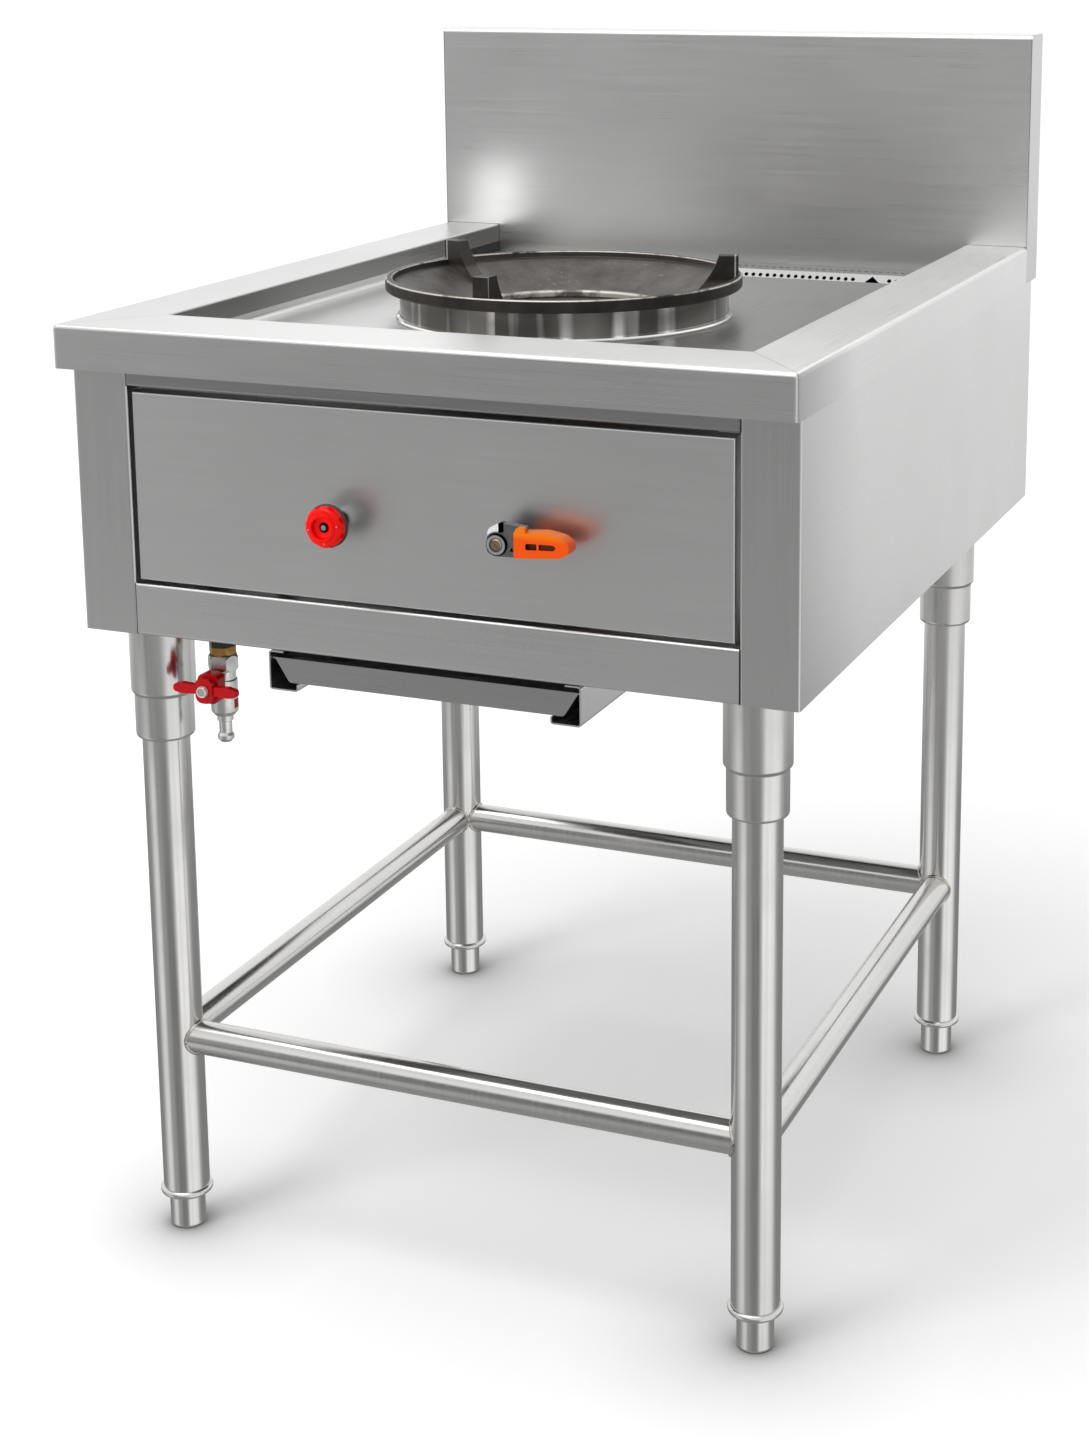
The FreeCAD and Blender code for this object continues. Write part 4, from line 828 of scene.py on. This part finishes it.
def make_world():
    """White to the camera, softer as a light, and a room of flags and white walls to the metal."""
    wall_light = 1.1
    ceiling_light = 0.72
    underside_light = 0.35
    soft_at_horizon = 0.24
    soft_overhead = 0.62
    world = bpy.data.worlds.new("studio")
    bpy.context.scene.world = world
    world.use_nodes = True
    room = Nodes(world.node_tree)
    direction = room.add("ShaderNodeTexCoord").outputs["Generated"]
    behind = room.math("MULTIPLY", room.split(direction, "Y"), -1.0)
    height = room.split(direction, "Z")
    angle = room.math("ARCTAN2", room.split(direction, "X"), behind)
    turn = room.math("ADD", room.math("DIVIDE", angle, 2.0 * math.pi), 0.5)
    light = room.blend_value(room.ramp(height, -0.34, -0.28),
                             by_bearing(room, turn, near_floor), by_bearing(room, turn, far_floor))
    light = room.blend_value(room.ramp(height, -0.17, -0.11), light, by_bearing(room, turn, skyline))
    light = room.blend_value(room.ramp(height, 0.22, 0.38), light, wall_light)
    light = room.blend_value(room.ramp(height, 0.55, 1.0), light, ceiling_light)
    light = room.blend_value(room.ramp(height, -0.8, -0.45), underside_light, light)
    soft = room.blend_value(height, soft_at_horizon, soft_overhead)
    ray = room.add("ShaderNodeLightPath").outputs
    seen = room.blend_value(ray["Is Camera Ray"], soft, 1.0)
    back = world.node_tree.nodes["Background"]
    back.inputs["Color"].default_value = (1.0, 1.0, 1.0, 1.0)
    room.join(room.blend_value(ray["Is Glossy Ray"], seen, light), back.inputs["Strength"])


def stage_material(name):
    """An empty material: its nodes, and the socket that its surface goes to."""
    material = bpy.data.materials.new(name)
    material.use_nodes = True
    tree = material.node_tree
    tree.nodes.remove(tree.nodes["Principled BSDF"])
    return material, Nodes(tree), tree.nodes["Material Output"].inputs["Surface"]


def plane(name, place, normal, width, height, material):
    """A flat card round a point, facing along its normal."""
    w = width / 2.0
    h = height / 2.0
    mesh = bpy.data.meshes.new(name)
    mesh.from_pydata([(-w, -h, 0), (w, -h, 0), (w, h, 0), (-w, h, 0)], [], [(0, 1, 2, 3)])
    mesh.materials.append(material)
    card = bpy.data.objects.new(name, mesh)
    bpy.context.scene.collection.objects.link(card)
    turn = Vector(normal).to_track_quat("Z", "Y").to_matrix().to_4x4()
    card.matrix_world = Matrix.Translation(place) @ turn
    return card


def make_floor():
    """A pale floor that keeps the range's soft shadow, with painted shadow near the feet from an occlusion
    node, and goes to white away from it.
    """
    shade = 0.90
    contact_shadow_reach = 0.16
    contact_shadow_depth = 1.7
    lift_near = 0.29
    lift_far = 0.62
    material, paint, surface = stage_material("studio_floor")
    # painted shadow: the occlusion node darkens the floor's colour and its glow near the feet
    touch = paint.add("ShaderNodeAmbientOcclusion")
    touch.inputs["Distance"].default_value = contact_shadow_reach
    contact_shadow = paint.math("POWER", touch.outputs["AO"], contact_shadow_depth)
    away = paint.add("ShaderNodeVectorMath", operation="LENGTH")
    paint.join(paint.add("ShaderNodeTexCoord").outputs["Object"], away.inputs[0])
    lift = paint.blend_value(paint.ramp(away.outputs["Value"], 0.5, 2.2), lift_near, lift_far)
    camera_ray = paint.add("ShaderNodeLightPath").outputs["Is Camera Ray"]
    diffuse = paint.add("ShaderNodeBsdfDiffuse")
    paint.join(paint.both(contact_shadow, shade), diffuse.inputs["Color"])
    glow = paint.add("ShaderNodeEmission")
    paint.join(paint.both(camera_ray, paint.both(lift, contact_shadow)), glow.inputs["Strength"])
    total = paint.add("ShaderNodeAddShader")
    paint.join(diffuse.outputs[0], total.inputs[0])
    paint.join(glow.outputs[0], total.inputs[1])
    paint.join(total.outputs[0], surface)
    floor = plane("studio_floor", (0.0, 0.0, 0.0), (0.0, 0.0, 1.0), 90.0, 90.0, material)
    floor.visible_glossy = False    # the metal sees the room's own floor tones instead


def glow_card(name, place, facing, width, height, strength):
    """A small bright card that shows only in reflections, and only from its front."""
    material, paint, surface = stage_material(name)
    glow = paint.add("ShaderNodeEmission")
    glow.inputs["Strength"].default_value = strength
    one_sided = paint.add("ShaderNodeMixShader")
    paint.join(paint.add("ShaderNodeNewGeometry").outputs["Backfacing"], one_sided.inputs[0])
    paint.join(glow.outputs[0], one_sided.inputs[1])
    paint.join(paint.add("ShaderNodeBsdfTransparent").outputs[0], one_sided.inputs[2])
    paint.join(one_sided.outputs[0], surface)
    card = plane(name, place, facing, width, height, material)
    card.visible_camera = False
    card.visible_diffuse = False
    card.visible_shadow = False
    card.visible_transmission = False


def soft_light(name, place, target, size, power):
    """A square soft box."""
    data = bpy.data.lights.new(name, "AREA")
    data.shape = "SQUARE"
    data.size = size
    data.energy = power
    light = bpy.data.objects.new(name, data)
    bpy.context.scene.collection.objects.link(light)
    light.location = place
    light.rotation_euler = (Vector(target) - Vector(place)).to_track_quat("-Z", "Y").to_euler()
    return light


def make_studio():
    """World, floor, two soft boxes, and two cards whose glow shows low on the splashback."""
    make_world()
    make_floor()
    soft_light("key_box", (-0.5, -0.7, 3.5), (0.0, 0.0, 0.7), 2.6, 44.0)
    front_box = soft_light("front_box", (-1.8, -2.9, 1.7), (0.0, -0.2, 0.6), 1.4, 42.0)
    front_box.visible_glossy = False
    to_splash = (0.42, 0.90, 0.1)
    glow_card("rim_glow", (-0.364, 0.202, 0.918), to_splash, 0.055, 0.065, 1.6)
    glow_card("ring_glow", (-0.267, 0.202, 0.873), to_splash, 0.07, 0.05, 0.6)


# ---------------------------------------------------------------- the scene
bpy.context.scene.view_settings.view_transform = "Standard"
make_camera()
dress_body()
dress_stand()
dress_burner()
dress_fittings()
make_trim()
make_studio()
